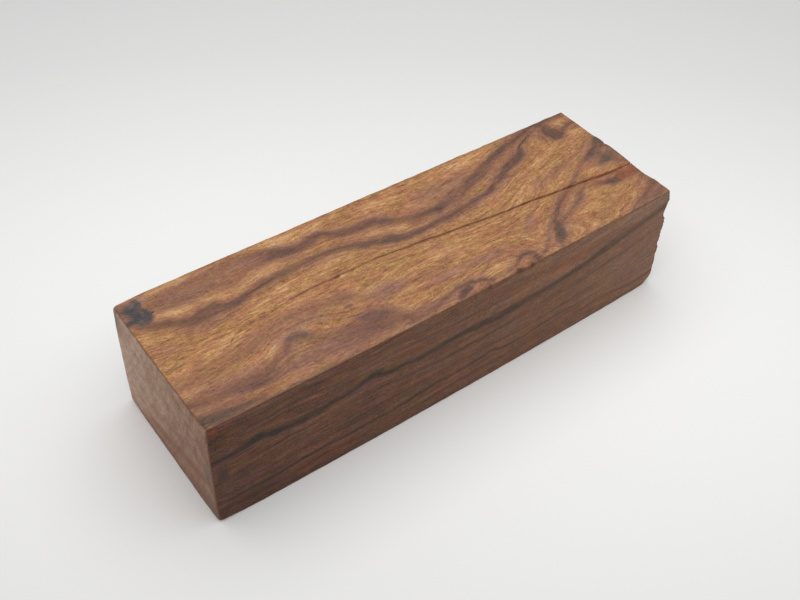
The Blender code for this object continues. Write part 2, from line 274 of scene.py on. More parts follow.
# Fine dark lines of the top: the same marks, thin and crisp
TOP_HAIRLINES = (
    # The first line runs along the crack's tip, where it has no groove: partly the wood's dark lining,
    # partly painted shade of the closed crack
    ((-35.6, 0.3, 0.1, 0.5), (-33, 0.7, 0.12, 0.7), (-30, 1, 0.14, 0.85), (-26, 1.25, 0.14, 0.85),
     (-22, 1.25, 0.12, 0.8), (-19, 1.2, 0.1, 0.8)),
    ((-50.6, -0.7, 0.1, 0.4), (-48, -0.4, 0.13, 0.6), (-45.5, 0, 0.1, 0.4)),
    ((-47.6, -1.7, 0.1, 0.4), (-45, -1.2, 0.13, 0.6), (-42, -0.7, 0.13, 0.6), (-39.6, 0.1, 0.1, 0.4)),
    ((-54.5, -3.2, 0.1, 0.3), (-51.5, -3.4, 0.13, 0.5), (-49.2, -3.2, 0.15, 0.7),
     (-48.2, -2.4, 0.13, 0.6), (-46.6, -1.5, 0.1, 0.4)),
    ((-60, -4.6, 0.1, 0.3), (-56, -5.3, 0.12, 0.45), (-52, -5.5, 0.12, 0.5), (-48, -5.2, 0.1, 0.3)),
    ((-58, 5.6, 0.1, 0.4), (-56.2, 4.8, 0.12, 0.5), (-53.5, 4.3, 0.1, 0.4)),
    ((-11, 3.3, 0.1, 0.35), (-8, 2.8, 0.14, 0.5), (-5, 2, 0.12, 0.4), (-2.5, 1.6, 0.1, 0.3)),
    ((-41, 6.7, 0.12, 0.5), (-38.5, 7.4, 0.16, 0.9), (-35.5, 8, 0.14, 0.8), (-31, 8.5, 0.12, 0.5)),
    ((44, 13.9, 0.12, 0.4), (46.5, 15.4, 0.16, 0.8), (50, 16.9, 0.14, 0.8), (53, 18, 0.1, 0.4)),
    ((-56, -9.8, 0.1, 0.4), (-52, -9.2, 0.1, 0.4), (-49, -8.8, 0.1, 0.3)),
    ((-24, 17.6, 0.1, 0.3), (-17, 16.9, 0.12, 0.4), (-10, 16.6, 0.1, 0.4), (-3, 16.5, 0.1, 0.3)),
    ((45.5, -4.7, 0.1, 0.5), (47.5, -4, 0.12, 0.5), (49.5, -4.6, 0.1, 0.4)),
)

# The crack's dark lining: partly the wood's own colour, partly painted shade deep in the groove
CRACK_LINING_AND_SHADE = tuple(
    (along, across, 0.02 + 0.0019 * (along + 20.0), 0.75 + 0.003 * (along + 20.0))
    for along, across in CRACK_LINE
    if -21.0 < along < 60.0
) + ((65.0, -6.5, 0.1, 0.6),)

# Streaks of the front face: (along, height, half width, darkness)
FRONT_STREAKS = (
    ("black band", -31.5, 0.65, 0.4, (
        (-65.3, 20.2, 1, 0.75), (-61.6, 20.2, 1, 0.8), (-58.5, 20.4, 0.9, 0.8), (-55.2, 21.2, 1.1, 0.9),
        (-53, 21.4, 1.1, 0.9), (-50, 20.5, 1, 0.9), (-45.3, 19.9, 1, 0.85), (-40.3, 19.7, 1, 0.9),
        (-36.2, 20.1, 0.85, 0.8), (-31.6, 20.5, 0.8, 0.8), (-28.3, 21.2, 0.8, 0.85),
        (-25.8, 21.9, 1.1, 0.9), (-24.1, 21.9, 1.2, 0.9), (-21.6, 20.9, 0.9, 0.85),
        (-19.1, 20.3, 0.7, 0.85), (-14.9, 20.1, 0.6, 0.8), (-12.8, 19.6, 0.8, 0.8), (-8.7, 19.7, 1, 0.8),
        (-4.5, 19.9, 1, 0.8), (1.2, 20.2, 0.9, 0.85), (5.3, 19.9, 1, 0.8), (9.5, 19.5, 1.1, 0.8),
        (13.7, 19.5, 1.1, 0.74), (18.7, 19.9, 0.9, 0.7), (22.8, 19.9, 0.9, 0.68), (27, 20.1, 0.8, 0.7),
        (30.3, 20.5, 0.75, 0.8), (34.5, 21.1, 0.85, 0.8), (37, 21.3, 0.9, 0.8), (40.8, 22, 0.9, 0.85),
        (43.7, 22.6, 1, 0.85), (47, 23.2, 1.1, 0.62), (51.2, 24, 0.9, 0.56), (55.3, 24.7, 0.9, 0.5),
        (59.5, 25.3, 0.9, 0.5), (65.2, 26.4, 1, 0.64),
    )),
    ("low line", -45, 0.35, 0.3, (
        (-65, 6.4, 0.31, 0.75), (-60, 6.1, 0.38, 0.81), (-55, 6.2, 0.38, 0.81), (-50, 6.4, 0.38, 0.81),
        (-45, 6.8, 0.38, 0.85), (-38, 7, 0.38, 0.81), (-30, 6.7, 0.44, 0.85), (-25, 6.8, 0.38, 0.85),
        (-20, 6.8, 0.38, 0.85), (-15, 7.1, 0.5, 0.85), (-11, 7.5, 0.5, 0.85), (-7, 7.9, 0.44, 0.75),
        (-2, 7.7, 0.38, 0.75), (4, 7.8, 0.44, 0.81), (8.5, 8.4, 0.5, 0.66), (10.5, 8.3, 0.5, 0.64),
        (13, 7.5, 0.44, 0.81), (19, 7.2, 0.38, 0.62), (25, 7.9, 0.44, 0.69), (31, 8.2, 0.44, 0.69),
        (38, 8, 0.38, 0.5), (47, 8.6, 0.38, 0.38), (56, 9.9, 0.38, 0.31), (65, 11.5, 0.38, 0.25),
    )),
    ("line at two thirds", -36, 0.35, 0.1, (
        (-62, 16, 0.31, 0.5), (-56, 16.3, 0.38, 0.55), (-51, 16.4, 0.44, 0.58), (-46, 16.7, 0.38, 0.62),
        (-38, 16.6, 0.31, 0.44), (-30, 16.9, 0.38, 0.44), (-22, 16.9, 0.44, 0.62), (-17, 16.2, 0.38, 0.5),
        (-8, 15.3, 0.38, 0.5), (0, 15.1, 0.38, 0.81), (7, 15, 0.38, 0.81), (12.5, 15.1, 0.38, 0.75),
        (20, 15.4, 0.38, 0.44), (30, 15.6, 0.38, 0.38), (38, 16.3, 0.38, 0.5), (45, 17.2, 0.5, 0.69),
        (49, 17.7, 0.5, 0.69), (55, 18.5, 0.38, 0.44), (65, 20.2, 0.38, 0.38),
    )),
    ("middle line", -41, 0.35, 0.1, (
        (-62, 10.4, 0.25, 0.44), (-55, 10.2, 0.38, 0.69), (-50, 10.4, 0.31, 0.56),
        (-42, 10.9, 0.31, 0.62), (-36, 11.1, 0.25, 0.5), (-28, 11, 0.31, 0.44), (-22, 11.3, 0.5, 0.56),
        (-10, 11.2, 0.25, 0.38), (2, 11, 0.31, 0.5), (12, 10.7, 0.38, 0.62), (20, 10.3, 0.31, 0.5),
        (30, 10.9, 0.38, 0.62), (40, 11.4, 0.31, 0.5), (48, 12.3, 0.31, 0.31), (60, 14.4, 0.31, 0.25),
    )),
    ("upper line", -26.5, 0.35, 0.2, (
        (-60, 25.6, 0.24, 0.39), (-52, 25.9, 0.3, 0.52), (-46, 26.4, 0.36, 0.65), (-40, 26.2, 0.36, 0.65),
        (-34, 25.2, 0.3, 0.52), (-26, 25.4, 0.24, 0.39), (-18, 25.6, 0.24, 0.39), (-8, 25, 0.24, 0.45),
        (2, 24.6, 0.3, 0.52), (12, 24.3, 0.3, 0.45), (22, 24.5, 0.24, 0.39), (33, 25.6, 0.24, 0.39),
        (42, 26.9, 0.24, 0.39), (52, 28.1, 0.24, 0.33), (64, 29.6, 0.24, 0.33),
    )),
    ("highest line", -24, 0.3, 0.2, (
        (-35, 28.4, 0.24, 0.39), (-20, 28.2, 0.3, 0.52), (-10, 27.6, 0.3, 0.59), (-3, 27.9, 0.24, 0.39),
        (8, 28.5, 0.24, 0.39), (20, 28, 0.24, 0.39), (34, 28.6, 0.24, 0.39), (44, 29.6, 0.24, 0.26),
    )),
    ("lowest line", -48.5, 0.35, 0.1, (
        (-60, 3.4, 0.24, 0.39), (-48, 3.2, 0.3, 0.52), (-36, 3.8, 0.24, 0.45), (-24, 3.4, 0.24, 0.39),
        (-12, 3.5, 0.36, 0.65), (-2, 4, 0.36, 0.65), (8, 4.2, 0.36, 0.59), (18, 3.8, 0.24, 0.45),
        (32, 4.6, 0.24, 0.39), (46, 4.9, 0.3, 0.39), (58, 3.6, 0.36, 0.52), (65, 4.2, 0.36, 0.52),
    )),
    ("dark foot", -51, 0.5, 0.4, (
        (-65, 0.4, 0.4, 0.3), (-30, 0.3, 0.4, 0.3), (0, 0.3, 0.4, 0.27), (30, 0.4, 0.48, 0.3),
        (62, 0.4, 0.48, 0.27),
    )),
)

# Streaks of the hidden faces, in the same manner: (along, height, half width, darkness) on the back
BACK_STREAKS = (
    ("back band", 33, 0.5, 0.8, (
        (-65.2, 18.6, 0.8, 0.8), (-54, 18, 0.9, 0.85), (-43, 19.2, 1.2, 0.9), (-34, 18.4, 0.8, 0.8),
        (-22, 17.4, 0.7, 0.8), (-10, 18.2, 1.1, 0.85), (2, 19, 0.9, 0.8), (15, 18.8, 0.7, 0.75),
        (28, 20.2, 0.9, 0.85), (40, 21.6, 1.1, 0.85), (52, 22.8, 0.8, 0.75), (65.2, 24.8, 0.8, 0.75),
    )),
    ("back upper line", 26.5, 0.4, 0.3, (
        (-58, 25.5, 0.3, 0.4), (-40, 26.2, 0.5, 0.6), (-24, 25.2, 0.3, 0.5), (-6, 25.4, 0.3, 0.45),
        (14, 26, 0.4, 0.5), (32, 27, 0.3, 0.4), (50, 28.4, 0.3, 0.4), (64, 29.4, 0.3, 0.3),
    )),
    ("back middle line", 39, 0.4, 0.2, (
        (-65, 12.5, 0.3, 0.5), (-48, 12, 0.35, 0.6), (-30, 12.8, 0.4, 0.55), (-12, 11.8, 0.3, 0.5),
        (8, 12.4, 0.4, 0.6), (26, 13.2, 0.3, 0.45), (46, 14.4, 0.4, 0.5), (65, 16.4, 0.3, 0.4),
    )),
    ("back low line", 45, 0.4, 0.2, (
        (-65, 6.2, 0.3, 0.5), (-44, 6.8, 0.4, 0.65), (-20, 6, 0.3, 0.5), (4, 6.6, 0.35, 0.6),
        (24, 7.4, 0.3, 0.5), (46, 7, 0.3, 0.4), (65, 8.4, 0.3, 0.4),
    )),
    ("back dark foot", 50.5, 0.5, 0.4, (
        (-65, 0.4, 0.5, 0.5), (-20, 0.3, 0.5, 0.45), (25, 0.4, 0.6, 0.5), (65, 0.4, 0.6, 0.45),
    )),
)

# Streaks of the bottom face: (along, across, half width, darkness)
BOTTOM_STREAKS = (
    ("bottom long streak", 64, 0.6, 0.3, (
        (-65.2, 6.5, 0.8, 0.7), (-50, 8.2, 1.2, 0.8), (-36, 7, 1, 0.75), (-20, 4.4, 1.3, 0.85),
        (-4, 5.2, 0.9, 0.75), (14, 8.6, 1.2, 0.8), (32, 10.2, 1, 0.75), (50, 8.8, 1.3, 0.8),
        (65.2, 9.6, 0.8, 0.7),
    )),
    ("bottom second streak", 79, 0.7, 0.2, (
        (-65.2, -8, 1.2, 0.6), (-48, -6.2, 1.5, 0.7), (-30, -9.4, 1, 0.6), (-12, -11.6, 1.6, 0.75),
        (6, -9, 1.1, 0.65), (24, -6.4, 1, 0.6), (42, -8.2, 1.4, 0.7), (65.2, -11, 0.9, 0.6),
    )),
    ("bottom front streak", 86, 0.6, 0.3, (
        (-60, -16, 0.5, 0.5), (-30, -17.4, 0.8, 0.6), (0, -16.6, 0.6, 0.5), (30, -15, 0.9, 0.6),
        (62, -17, 0.6, 0.5),
    )),
)

# Soft patches of each tint on the top: (along, across, reach along, reach across, amount), and a turn in
# degrees where the patch lies slanted
TOP_PATCHES = {
    "bark": (
        (-61.2, 14.6, 1.9, 3.6, 1), (-62.8, 17.8, 1.7, 1.6, 0.7), (-60.3, 13.7, 1.9, 1.9, 0.9),
        (-63.3, 16, 1.3, 1.7, 0.5), (-60.6, 18, 1.5, 1.3, 0.8), (-61.5, 12.1, 1.1, 1.2, 0.9),
        (-64, 13.3, 1.6, 1, 0.85), (-61.4, 16.5, 1.7, 1.8, 0.9), (-19.6, -13.2, 3.8, 1.7, 0.42, -8),
        (-36.4, -9.4, 2, 1, 0.36, -8),
    ),
    "mauve": (
        (-64.2, 18.4, 1.8, 1.9, 0.8), (-63.8, 15.4, 2.6, 4, 0.9), (-60.6, 18.2, 4, 1.8, 0.8),
        (-61, 11.8, 2.4, 1.6, 0.6), (-50, 15.4, 9, 3, 0.6), (-36.5, 16, 6.5, 2.8, 0.6, -8),
        (-27, 14.8, 4.5, 1.8, 0.6, -14), (15, 12.8, 6.5, 2.2, 0.75, 10), (24, 13.6, 4.5, 1.7, 0.6, 20),
        (52.5, 15.6, 2.6, 1.6, 0.5, 30), (-50, 4, 6, 1.2, 0.55, -4), (-61, 2.4, 3.5, 1.6, 0.35, -20),
        (20, 6.2, 5, 0.9, 0.35), (40, 0.6, 3.6, 1.4, 0.5, 32), (46.5, 1.8, 5, 0.8, 0.3, 18),
        (60.5, 0.4, 4.5, 3, 0.6, 10), (61.5, -0.6, 4.5, 3.4, 0.7), (64.4, -12.4, 2.2, 2.4, 0.6),
        (-55, -11.4, 6.5, 1.2, 0.5, 2), (-31, -6.8, 4.5, 1.7, 0.5, -8), (-38, -15.2, 8, 3.2, 0.75),
        (-25, -15.6, 10, 3.4, 0.9), (-60, -16.6, 6, 1.4, 0.5), (-13, -8.6, 5.5, 2.4, 0.9),
        (-39, -7.5, 6, 1.8, 0.5), (-21, -5.2, 2.4, 1.6, 0.5), (0, -9.4, 6, 1.4, 0.35),
        (12, -12.8, 9, 1.5, 0.6, -4), (0, -12.2, 5, 1.3, 0.5, 4), (-8, -17.8, 6.5, 1.2, 0.6),
        (19.8, -18.3, 1.4, 0.8, 0.4), (27, -11, 4, 1.6, 0.4, 35), (29.5, -8.2, 3.2, 1.2, 0.45, 45),
        (36.5, -15.6, 2.6, 2.4, 0.3), (61.5, -18.6, 4.5, 2.4, 0.6, 15), (-61.5, -17, 4, 0.7, 0.5),
    ),
    "dark": (
        # All these dark patches but the first lie in the chips of the top front edge: painted shade in
        # the scoops
        (-64.6, 18.7, 0.9, 1.4, 0.55), (16.1, -20.3, 0.8, 0.45, 1), (19.8, -20.4, 0.6, 0.35, 1),
        (7.4, -20.3, 0.5, 0.35, 1), (19.5, -19.8, 0.9, 0.5, 0.7), (5.6, -20.1, 1.2, 0.5, 0.6),
    ),
    "rust": (
        (-64.1, 15.4, 0.9, 0.8, 0.2), (-63.9, 11.6, 1, 0.6, 0.35), (-35.6, 14.3, 3, 1.2, 0.3),
        (20, -7.4, 7, 1.6, 0.16), (-0.1, 14.8, 1, 0.5, 0.8), (34.5, 11.2, 4, 0.8, 0.35, 24),
        (5, 5.7, 3, 0.7, 0.3), (56, -2, 1.8, 0.8, 0.45, 20), (63.8, -8, 2.6, 1.5, 0.85, -10),
        (59.8, -8.2, 2.4, 1.5, 0.75), (56, -6.2, 9.5, 0.6, 0.8, -6), (53.6, -8, 2.6, 0.8, 0.6, -20),
        (61, -9.9, 4, 0.8, 0.6), (44.5, -5.6, 4, 0.6, 0.4, 22), (-29, -10.2, 2.5, 0.8, 0.4, -20),
        (-36, -13.4, 2.2, 0.5, 0.4, 4), (-56.5, -17.2, 3.5, 0.45, 0.5, -4),
        (-47.5, -18.4, 3.2, 0.7, 0.6, -4), (-65, -17, 0.5, 0.6, 0.9),
    ),
    "gold": (
        (-49.5, 19.4, 5, 0.9, 0.8), (-33, 11.2, 7, 1.7, 1, 8), (-43.5, 10.2, 4, 1.2, 0.8, -12),
        (-55.5, 11.6, 4, 1.1, 0.8, -22), (-63.3, 7.6, 2, 1.4, 0.6, -30), (-24.5, 18.4, 4.5, 1.9, 1, -10),
        (-16.5, 17.9, 4.5, 1.7, 0.8), (1.6, 16.6, 4.5, 2.2, 0.8), (7, 18.4, 2.2, 1.2, 0.5),
        (27.5, 17.6, 6, 1.7, 1, 5), (36, 18.2, 3.5, 1.2, 0.7, 10), (60.8, 17.6, 2.2, 1.2, 1),
        (-54, -1.6, 8, 2.2, 0.5, -4), (-36.5, 4.4, 6.5, 1.6, 0.3, 8), (-30, -0.9, 6.5, 1, 0.6, 2),
        (-30, 3.4, 8, 1.6, 0.5), (8, -4.8, 9, 1.4, 0.4), (11.4, -19.9, 2.4, 0.4, 0.8),
        (25.4, -19.7, 2.6, 0.5, 0.8), (-17, 5.8, 5.5, 1.5, 0.5, -6), (-5, 9.2, 3.5, 1.1, 0.5, -24),
        (1.8, 6.9, 3, 0.9, 0.7, -18), (26, 2.6, 6, 1.4, 0.4, 4), (33, -0.2, 5.2, 1.5, 1, 32),
        (50, 8.4, 6, 1.5, 0.4, 18), (61, 10.6, 4.5, 2.2, 0.5, 10), (-43, -9.8, 2.8, 1.2, 0.9, 25),
        (-62.5, -10.4, 2.4, 0.8, 0.6), (-41, -17.3, 2.6, 0.5, 0.4), (-36, -18.4, 2.6, 0.5, 0.3),
        (-46.6, -19.2, 2.2, 0.5, 0.5), (-30.6, -20.1, 1.6, 0.5, 0.8), (-11.5, -3.6, 4, 1.3, 0.1, 12),
        (5.5, -8.2, 8, 2, 0.25), (12, -16.8, 5, 1.2, 0.5), (4.6, -18.8, 1.5, 0.6, 1, 20),
        (-2.4, -19.7, 1.6, 0.4, 0.9, 10), (26.4, -19.8, 2.2, 0.6, 0.8), (1.4, -19.9, 0.9, 0.4, 0.8),
        (41.7, -19, 2.2, 1, 0.6), (57, -20, 3.6, 0.8, 0.9), (47, -12.2, 6, 1.6, 0.45, 22),
        (55, -13, 5, 1.6, 0.3, 15),
    ),
    "green": (
        (60.9, -1.3, 1.6, 1.2, 0.6), (60.4, 1.4, 1.2, 0.9, 0.5), (64.4, 6, 0.9, 1.3, 0.5),
        (56.6, -9.3, 1.7, 0.7, 0.85, -8), (-36.6, -9.2, 2.2, 1.1, 0.75, -12),
        (-35.8, -10.8, 2.4, 1.1, 0.45), (-22.8, -7.9, 1.2, 0.45, 0.9, -8), (-18.5, -13.4, 2.8, 1.4, 0.35),
        (32.4, -16.4, 1.4, 2, 0.8, -20), (-62.3, -2.8, 1.2, 0.5, 0.35),
    ),
}

# Soft patches on the front: (along, height, reach along, reach up, amount, turn)
FRONT_PATCHES = {
    "mauve": (
        (-63.2, 15.6, 2.4, 3.6, 0.6), (57, 15, 9, 13, 0.55), (48.5, 20.2, 6.5, 2.2, 0.7, 10),
        (0, 27, 12, 2, 0.35), (-36, 13, 18, 2.6, 0.3), (30, 13, 14, 2, 0.35, 4), (-50, 24.4, 9, 2.2, 0.3),
    ),
    "green": (
        (-62.6, 15.4, 1.6, 3, 0.5), (-28, 10, 8, 2.4, 0.3), (-32, 1.4, 30, 1.2, 0.25),
    ),
    "dark": (
        # The dark patches at 7.4, 16.1 and 19.8 along, just under the top edge, lie in its chips: painted
        # shade in the scoops
        (-62.6, 15.8, 1.5, 2.8, 0.5), (16.1, 30.8, 0.8, 0.5, 1), (19.8, 30.9, 0.6, 0.4, 1),
        (7.4, 30.8, 0.6, 0.4, 1), (-50, 13, 6, 1.2, 0.22), (-30, 3, 9, 1.1, 0.2),
        (-54.5, 4.4, 8, 2.6, 0.45),
    ),
    "gold": (
        # The gold patches at 30, 38 and 53 along, close under the top edge, are a painted highlight of
        # the rounded top edge
        (-22, 24, 8, 1.6, 0.5, -6), (53, 28.8, 13, 2.2, 0.8, 4), (30, 28.6, 13, 2, 0.6, 2),
        (24, 23.2, 14, 1.8, 0.9, 2), (50, 13.8, 7, 2.4, 0.45, 8), (-10, 13.6, 6, 1.5, 0.35),
        (38, 27.4, 8, 1.6, 0.5, 10), (2, 22.2, 9, 0.9, 0.35), (12, 12.8, 9, 1.4, 0.3),
        (47, 8.6, 8, 1.6, 0.35, 8),
    ),
    "rust": (
        (30, 25.5, 14, 2.4, 0.3, 4), (-64, 30.2, 2.5, 0.7, 0.7), (-13, 23, 4, 1, 0.35, -10),
        (-32.5, 17.6, 1.6, 1, 0.3), (-38, 4, 12, 1.4, 0.25), (0, 5.8, 10, 1.2, 0.3),
    ),
}

# Soft patches on both ends: (across, height, reach across, reach up, amount, turn)
END_PATCHES = {
    "rust": (
        (2, 6, 9, 1.7, 0.7, -12), (-11, 9.6, 8, 1.5, 0.65, -10), (-14, 3.2, 9, 2.6, 0.55),
        (17, 26.5, 4, 4, 0.35), (-16.5, 22, 4, 2, 0.3), (6, 1.4, 16, 1.6, 0.6),
    ),
    "green": (
        (-4.5, 13.6, 5, 1.1, 0.5, -14), (-18.8, 15.4, 1.8, 3, 0.8), (-19.2, 20.4, 1.6, 1, 0.6),
        (19.4, 28, 2, 5, 0.7), (-18, 2.4, 4, 3, 0.4),
    ),
}

# Bumps in the growth layers, which bend the fine lines into eyes: (along, across, the two reaches, rise)
LAYER_BUMPS = (
    (2, -18.7, 4.2, 1.6, 3.5), (20.2, -18.4, 2.8, 1.7, 3), (-36.6, -9.6, 2.6, 1.8, 2.4),
    (32.2, -16.4, 1.8, 2.2, -3), (-61.8, 15.2, 3, 3.4, 3), (56.8, 13.6, 2.4, 2.4, -2.5),
    (-19, -13.6, 3.6, 2.2, 2),
)

# Marks that hold the growth layers at the margins of the sheet: (along, round the block, layer)
LAYER_MARKS = tuple(
    (along, edge, layer)
    for along in (-65, -40, -15, 10, 35, 65)
    for edge, layer in ((92, 92), (58, 57), (-51.5, -52))
) + (
    (-20, 1.2, -1.5), (-5, 0.9, -1.5), (10, -0.9, -1.5), (20, -2.1, -1.5), (-40, 0.6, -1.5),
    (-52, 0, -1.5), (-64, 1, -1.5), (-62, 19.5, 19), (-40, 20.3, 19.6), (-15, 20.3, 19),
    (8, 20.3, 20), (25, 20.3, 19), (-10, -12.5, -13.5), (8, -12.6, -13.5), (20, -12.8, -13.5),
    (60, 9, -2), (64, 11, -1), (50, 7, -1), (64, -4, -17), (64, -9, -20), (55, -9, -18),
    (40, -20.5, -21.5), (25, -20.5, -21), (5, -20.5, -21.5), (-20, -20.5, -21.5), (-45, -20.5, -21.5),
    (-64, -20.5, -21.5),
)
LAYER_SHORTENING = 0.4
LAYER_EASE = 0.4

# The mauve halo round every streak, the softness of all drawn sides, and how much the sheet is shaken:
# (shift, how much slower along the grain, wavelength)
HALO_WIDTH = 1.1
HALO_SOFT = 1.2
HALO_SHARE = 0.7
EXTRA_SOFT = 0.28
HAIR_SOFT = 0.3
STREAK_REACH = 5.0
SHAKE_ALONG = (0.35, 2.0, 2.6)
SHAKE_ACROSS = (0.13, 3.0, 1.9)

TINTS = ("dark", "green", "mauve", "gold", "rust", "bark", "hair")


def smoothstep(low, high, value):
    """0 below low, 1 above high, and a smooth S between them."""
    t = np.clip((value - low) / (high - low), 0.0, 1.0)
    return t * t * (3.0 - 2.0 * t)


def ripple(a, b, wavelength, seed, waves=7):
    """Gentle unevenness over two coordinates: a sum of sine waves in seeded directions, about 1 high."""
    rng = np.random.default_rng(seed)
    heading = rng.uniform(0.0, math.tau, waves)
    phase = rng.uniform(0.0, math.tau, waves)
    length = wavelength * rng.uniform(0.6, 1.5, waves)
    run = np.outer(a, np.cos(heading)) + np.outer(b, np.sin(heading))
    return np.sin(math.tau * run / length + phase).sum(axis=1) / math.sqrt(waves)


# The block's shape: rows of the plain box, then one step after another, each on whole arrays


def rows(low, high, step, extra=()):
    """Places of the rows between two sides: fixed ones near both edges, even ones between, and extras."""
    near = np.array(EDGE_ROWS)
    start, end = low + near[-1], high - near[-1]
    even = np.linspace(start, end, round((end - start) / step) + 1)
    for place in extra:
        even = even[np.abs(even - place) > ROW_CLEARANCE * step]
    return np.unique(np.concatenate([low + near, even, high - near, np.array(extra, float)]))


def plain_box():
    """The rows along, across and up, the numbers of the lattice points on the surface, and their places.

    The lattice has a point wherever three rows cross, and only those on the box's surface are kept.
    """
    along = rows(-LENGTH / 2, LENGTH / 2, ALONG_STEP, [c[0] for c in CHIPS])
    across = rows(-WIDTH / 2, WIDTH / 2, ACROSS_STEP, [CRACK_ROW + d for d in CRACK_ROWS])
    up = rows(0.0, HEIGHT, UP_STEP)
    count = (len(along), len(across), len(up))
    surface = np.ones(count, bool)
    surface[1:-1, 1:-1, 1:-1] = False
    numbers = np.full(count, -1)
    numbers[surface] = np.arange(surface.sum())
    i, j, k = np.nonzero(surface)
    return numbers, np.column_stack([along[i], across[j], up[k]])


def eased(p):
    """Rounds edges and corners: each point moves onto a sphere round its nearest point of a smaller box.

    The sphere's radius is the ease, which swells to the worn ease near the corners of the smooth end
    and varies a little along every edge. Also returns the way out of the surface at each point.
    """
    half = np.array((LENGTH / 2, WIDTH / 2, HEIGHT / 2))
    middle = np.array((0.0, 0.0, HEIGHT / 2))
    centred = p - middle
    to_corner = np.linalg.norm(np.abs(centred) - half, axis=1) + LENGTH * (p[:, 0] > 0)
    worn = np.exp(-((to_corner / WORN_REACH) ** 2))
    ragged = ripple(p[:, 0], p[:, 1] + p[:, 2], EASE_WAVE, seed=21)
    ease = EDGE_EASE * np.clip(1.0 + EASE_RAGGED * ragged, *EASE_LIMITS)
    radius = (ease + (WORN_EASE - ease) * worn)[:, None]
    inner = np.clip(centred, radius - half, half - radius)
    outward = centred - inner
    outward /= np.linalg.norm(outward, axis=1, keepdims=True)
    return inner + outward * radius + middle, outward


def crack_place(along):
    """Where the crack lies across the block at each place along it, with a slight wiggle."""
    marks = np.array(CRACK_LINE)
    wiggle = CRACK_WIGGLE * ripple(along, 0.0 * along, CRACK_WIGGLE_WAVE, seed=33)
    return np.interp(along, marks[:, 0], marks[:, 1]) + wiggle


def add_crack(p, outward, row):
    """Bends the rows nearest the crack to its line and sinks the middle one.

    The shift is the crack's place minus its row's, times a share that falls to 0 at both long faces
    and at the bottom. Width and depth grow from the crack's start to the rough end. row is y on the
    plain box.
    """
    side = row - CRACK_ROW
    reach = CRACK_ROWS[-1]
    to_face = WIDTH / 2 - CRACK_ROW * np.sign(side)
    beyond = (np.abs(side) - reach) / (to_face - reach)
    share = (1.0 - np.clip(beyond, 0.0, 1.0)) * p[:, 2] / HEIGHT
    growth = smoothstep(CRACK_START, LENGTH / 2, p[:, 0])
    width = CRACK_WIDTH[0] + (CRACK_WIDTH[1] - CRACK_WIDTH[0]) * growth
    closing = smoothstep(CRACK_START - CRACK_CLOSING, CRACK_START, p[:, 0])
    near = np.abs(side) < reach + 1e-3
    squeeze = np.where(near, side * closing * (width / (2.0 * reach) - 1.0), 0.0)
    down_end = smoothstep(HEIGHT - CRACK_DROP, HEIGHT - CRACK_FULL, p[:, 2])
    steep = np.clip(1.0 - np.abs(side) / reach, 0.0, 1.0)
    depth = (CRACK_DEPTH[0] + (CRACK_DEPTH[1] - CRACK_DEPTH[0]) * growth) * steep * down_end
    top_end = smoothstep(LENGTH / 2 - CRACK_SHUT_REACH, LENGTH / 2, p[:, 0])
    top_end = top_end * smoothstep(HEIGHT - CRACK_SHUT_REACH, HEIGHT, p[:, 2])
    depth = depth * (p[:, 0] > CRACK_START) * (1.0 - CRACK_SHUT * top_end)
    bent = p - outward * depth[:, None]
    bent[:, 1] += share * (crack_place(p[:, 0]) - CRACK_ROW) + squeeze
    return bent


def roughen_end(p, outward):
    """Puts saw ridges, a wandering cut, and the uneven front and top edges on the rough end.

    All are shifts along X. The ridges are a triangle wave in height, slanted across the end. The
    profile of the front edge, from the top down, fades within LIP_REACH of the front face, and the
    crest, the profile of the top edge, fades between the two heights of CREST_DROP.
    """
    y, z = p[:, 1], p[:, 2]
    phase = (z + SAW_SLANT * y + SAW_WAVER * ripple(y, z, SAW_WAVER_WAVE, seed=15)) / SAW_PITCH
    ridge = np.abs(2.0 * (phase - np.floor(phase)) - 1.0) - 0.5
    front = 1.0 - smoothstep(0.0, LIP_REACH, y + WIDTH / 2)
    depths, shifts = np.array(LIP_PROFILE).T
    lip = np.interp(HEIGHT - z, depths, shifts)
    places, rises = np.array(CREST_PROFILE).T
    high = smoothstep(HEIGHT - CREST_DROP[0], HEIGHT - CREST_DROP[1], z)
    crest = high * np.interp(y, places, rises)
    on_end = np.clip(outward[:, 0], 0.0, 1.0)
    rough = p.copy()
    rough[:, 0] += on_end * (
        SAW_DEPTH * ridge
        + END_WANDER * ripple(y, z, END_WAVE, seed=11)
        + END_GRIT * ripple(y, z, END_GRIT_WAVE, seed=12)
        + front * lip
        + crest
    )
    return rough


def break_corner(p):
    """Cuts the lower front corner of the rough end along a plane, and roughens the torn wood."""
    corner = np.array((LENGTH / 2, -WIDTH / 2, 0.0))
    slope = np.array((1.0, -1.0, -1.0)) / np.array(BREAK)
    steepness = np.linalg.norm(slope)
    beyond = (1.0 + (p - corner) @ slope) / steepness
    excess = 0.5 * (beyond + np.sqrt(beyond**2 + BREAK_SOFT**2)) * (beyond > -BREAK_REACH)
    uneven = BREAK_ROUGH * np.abs(ripple(p[:, 1], p[:, 2], BREAK_WAVE, seed=4))
    return p - (excess + np.minimum(excess, uneven))[:, None] * slope / steepness


def scooped(p, centre, radius):
    """Pushes the points inside a ball out to its surface, which scoops a chip out of the block."""
    away = p - np.array(centre)
    distance = np.maximum(np.linalg.norm(away, axis=1, keepdims=True), 1e-6)
    return np.where(distance < radius, np.array(centre) + away * radius / distance, p)


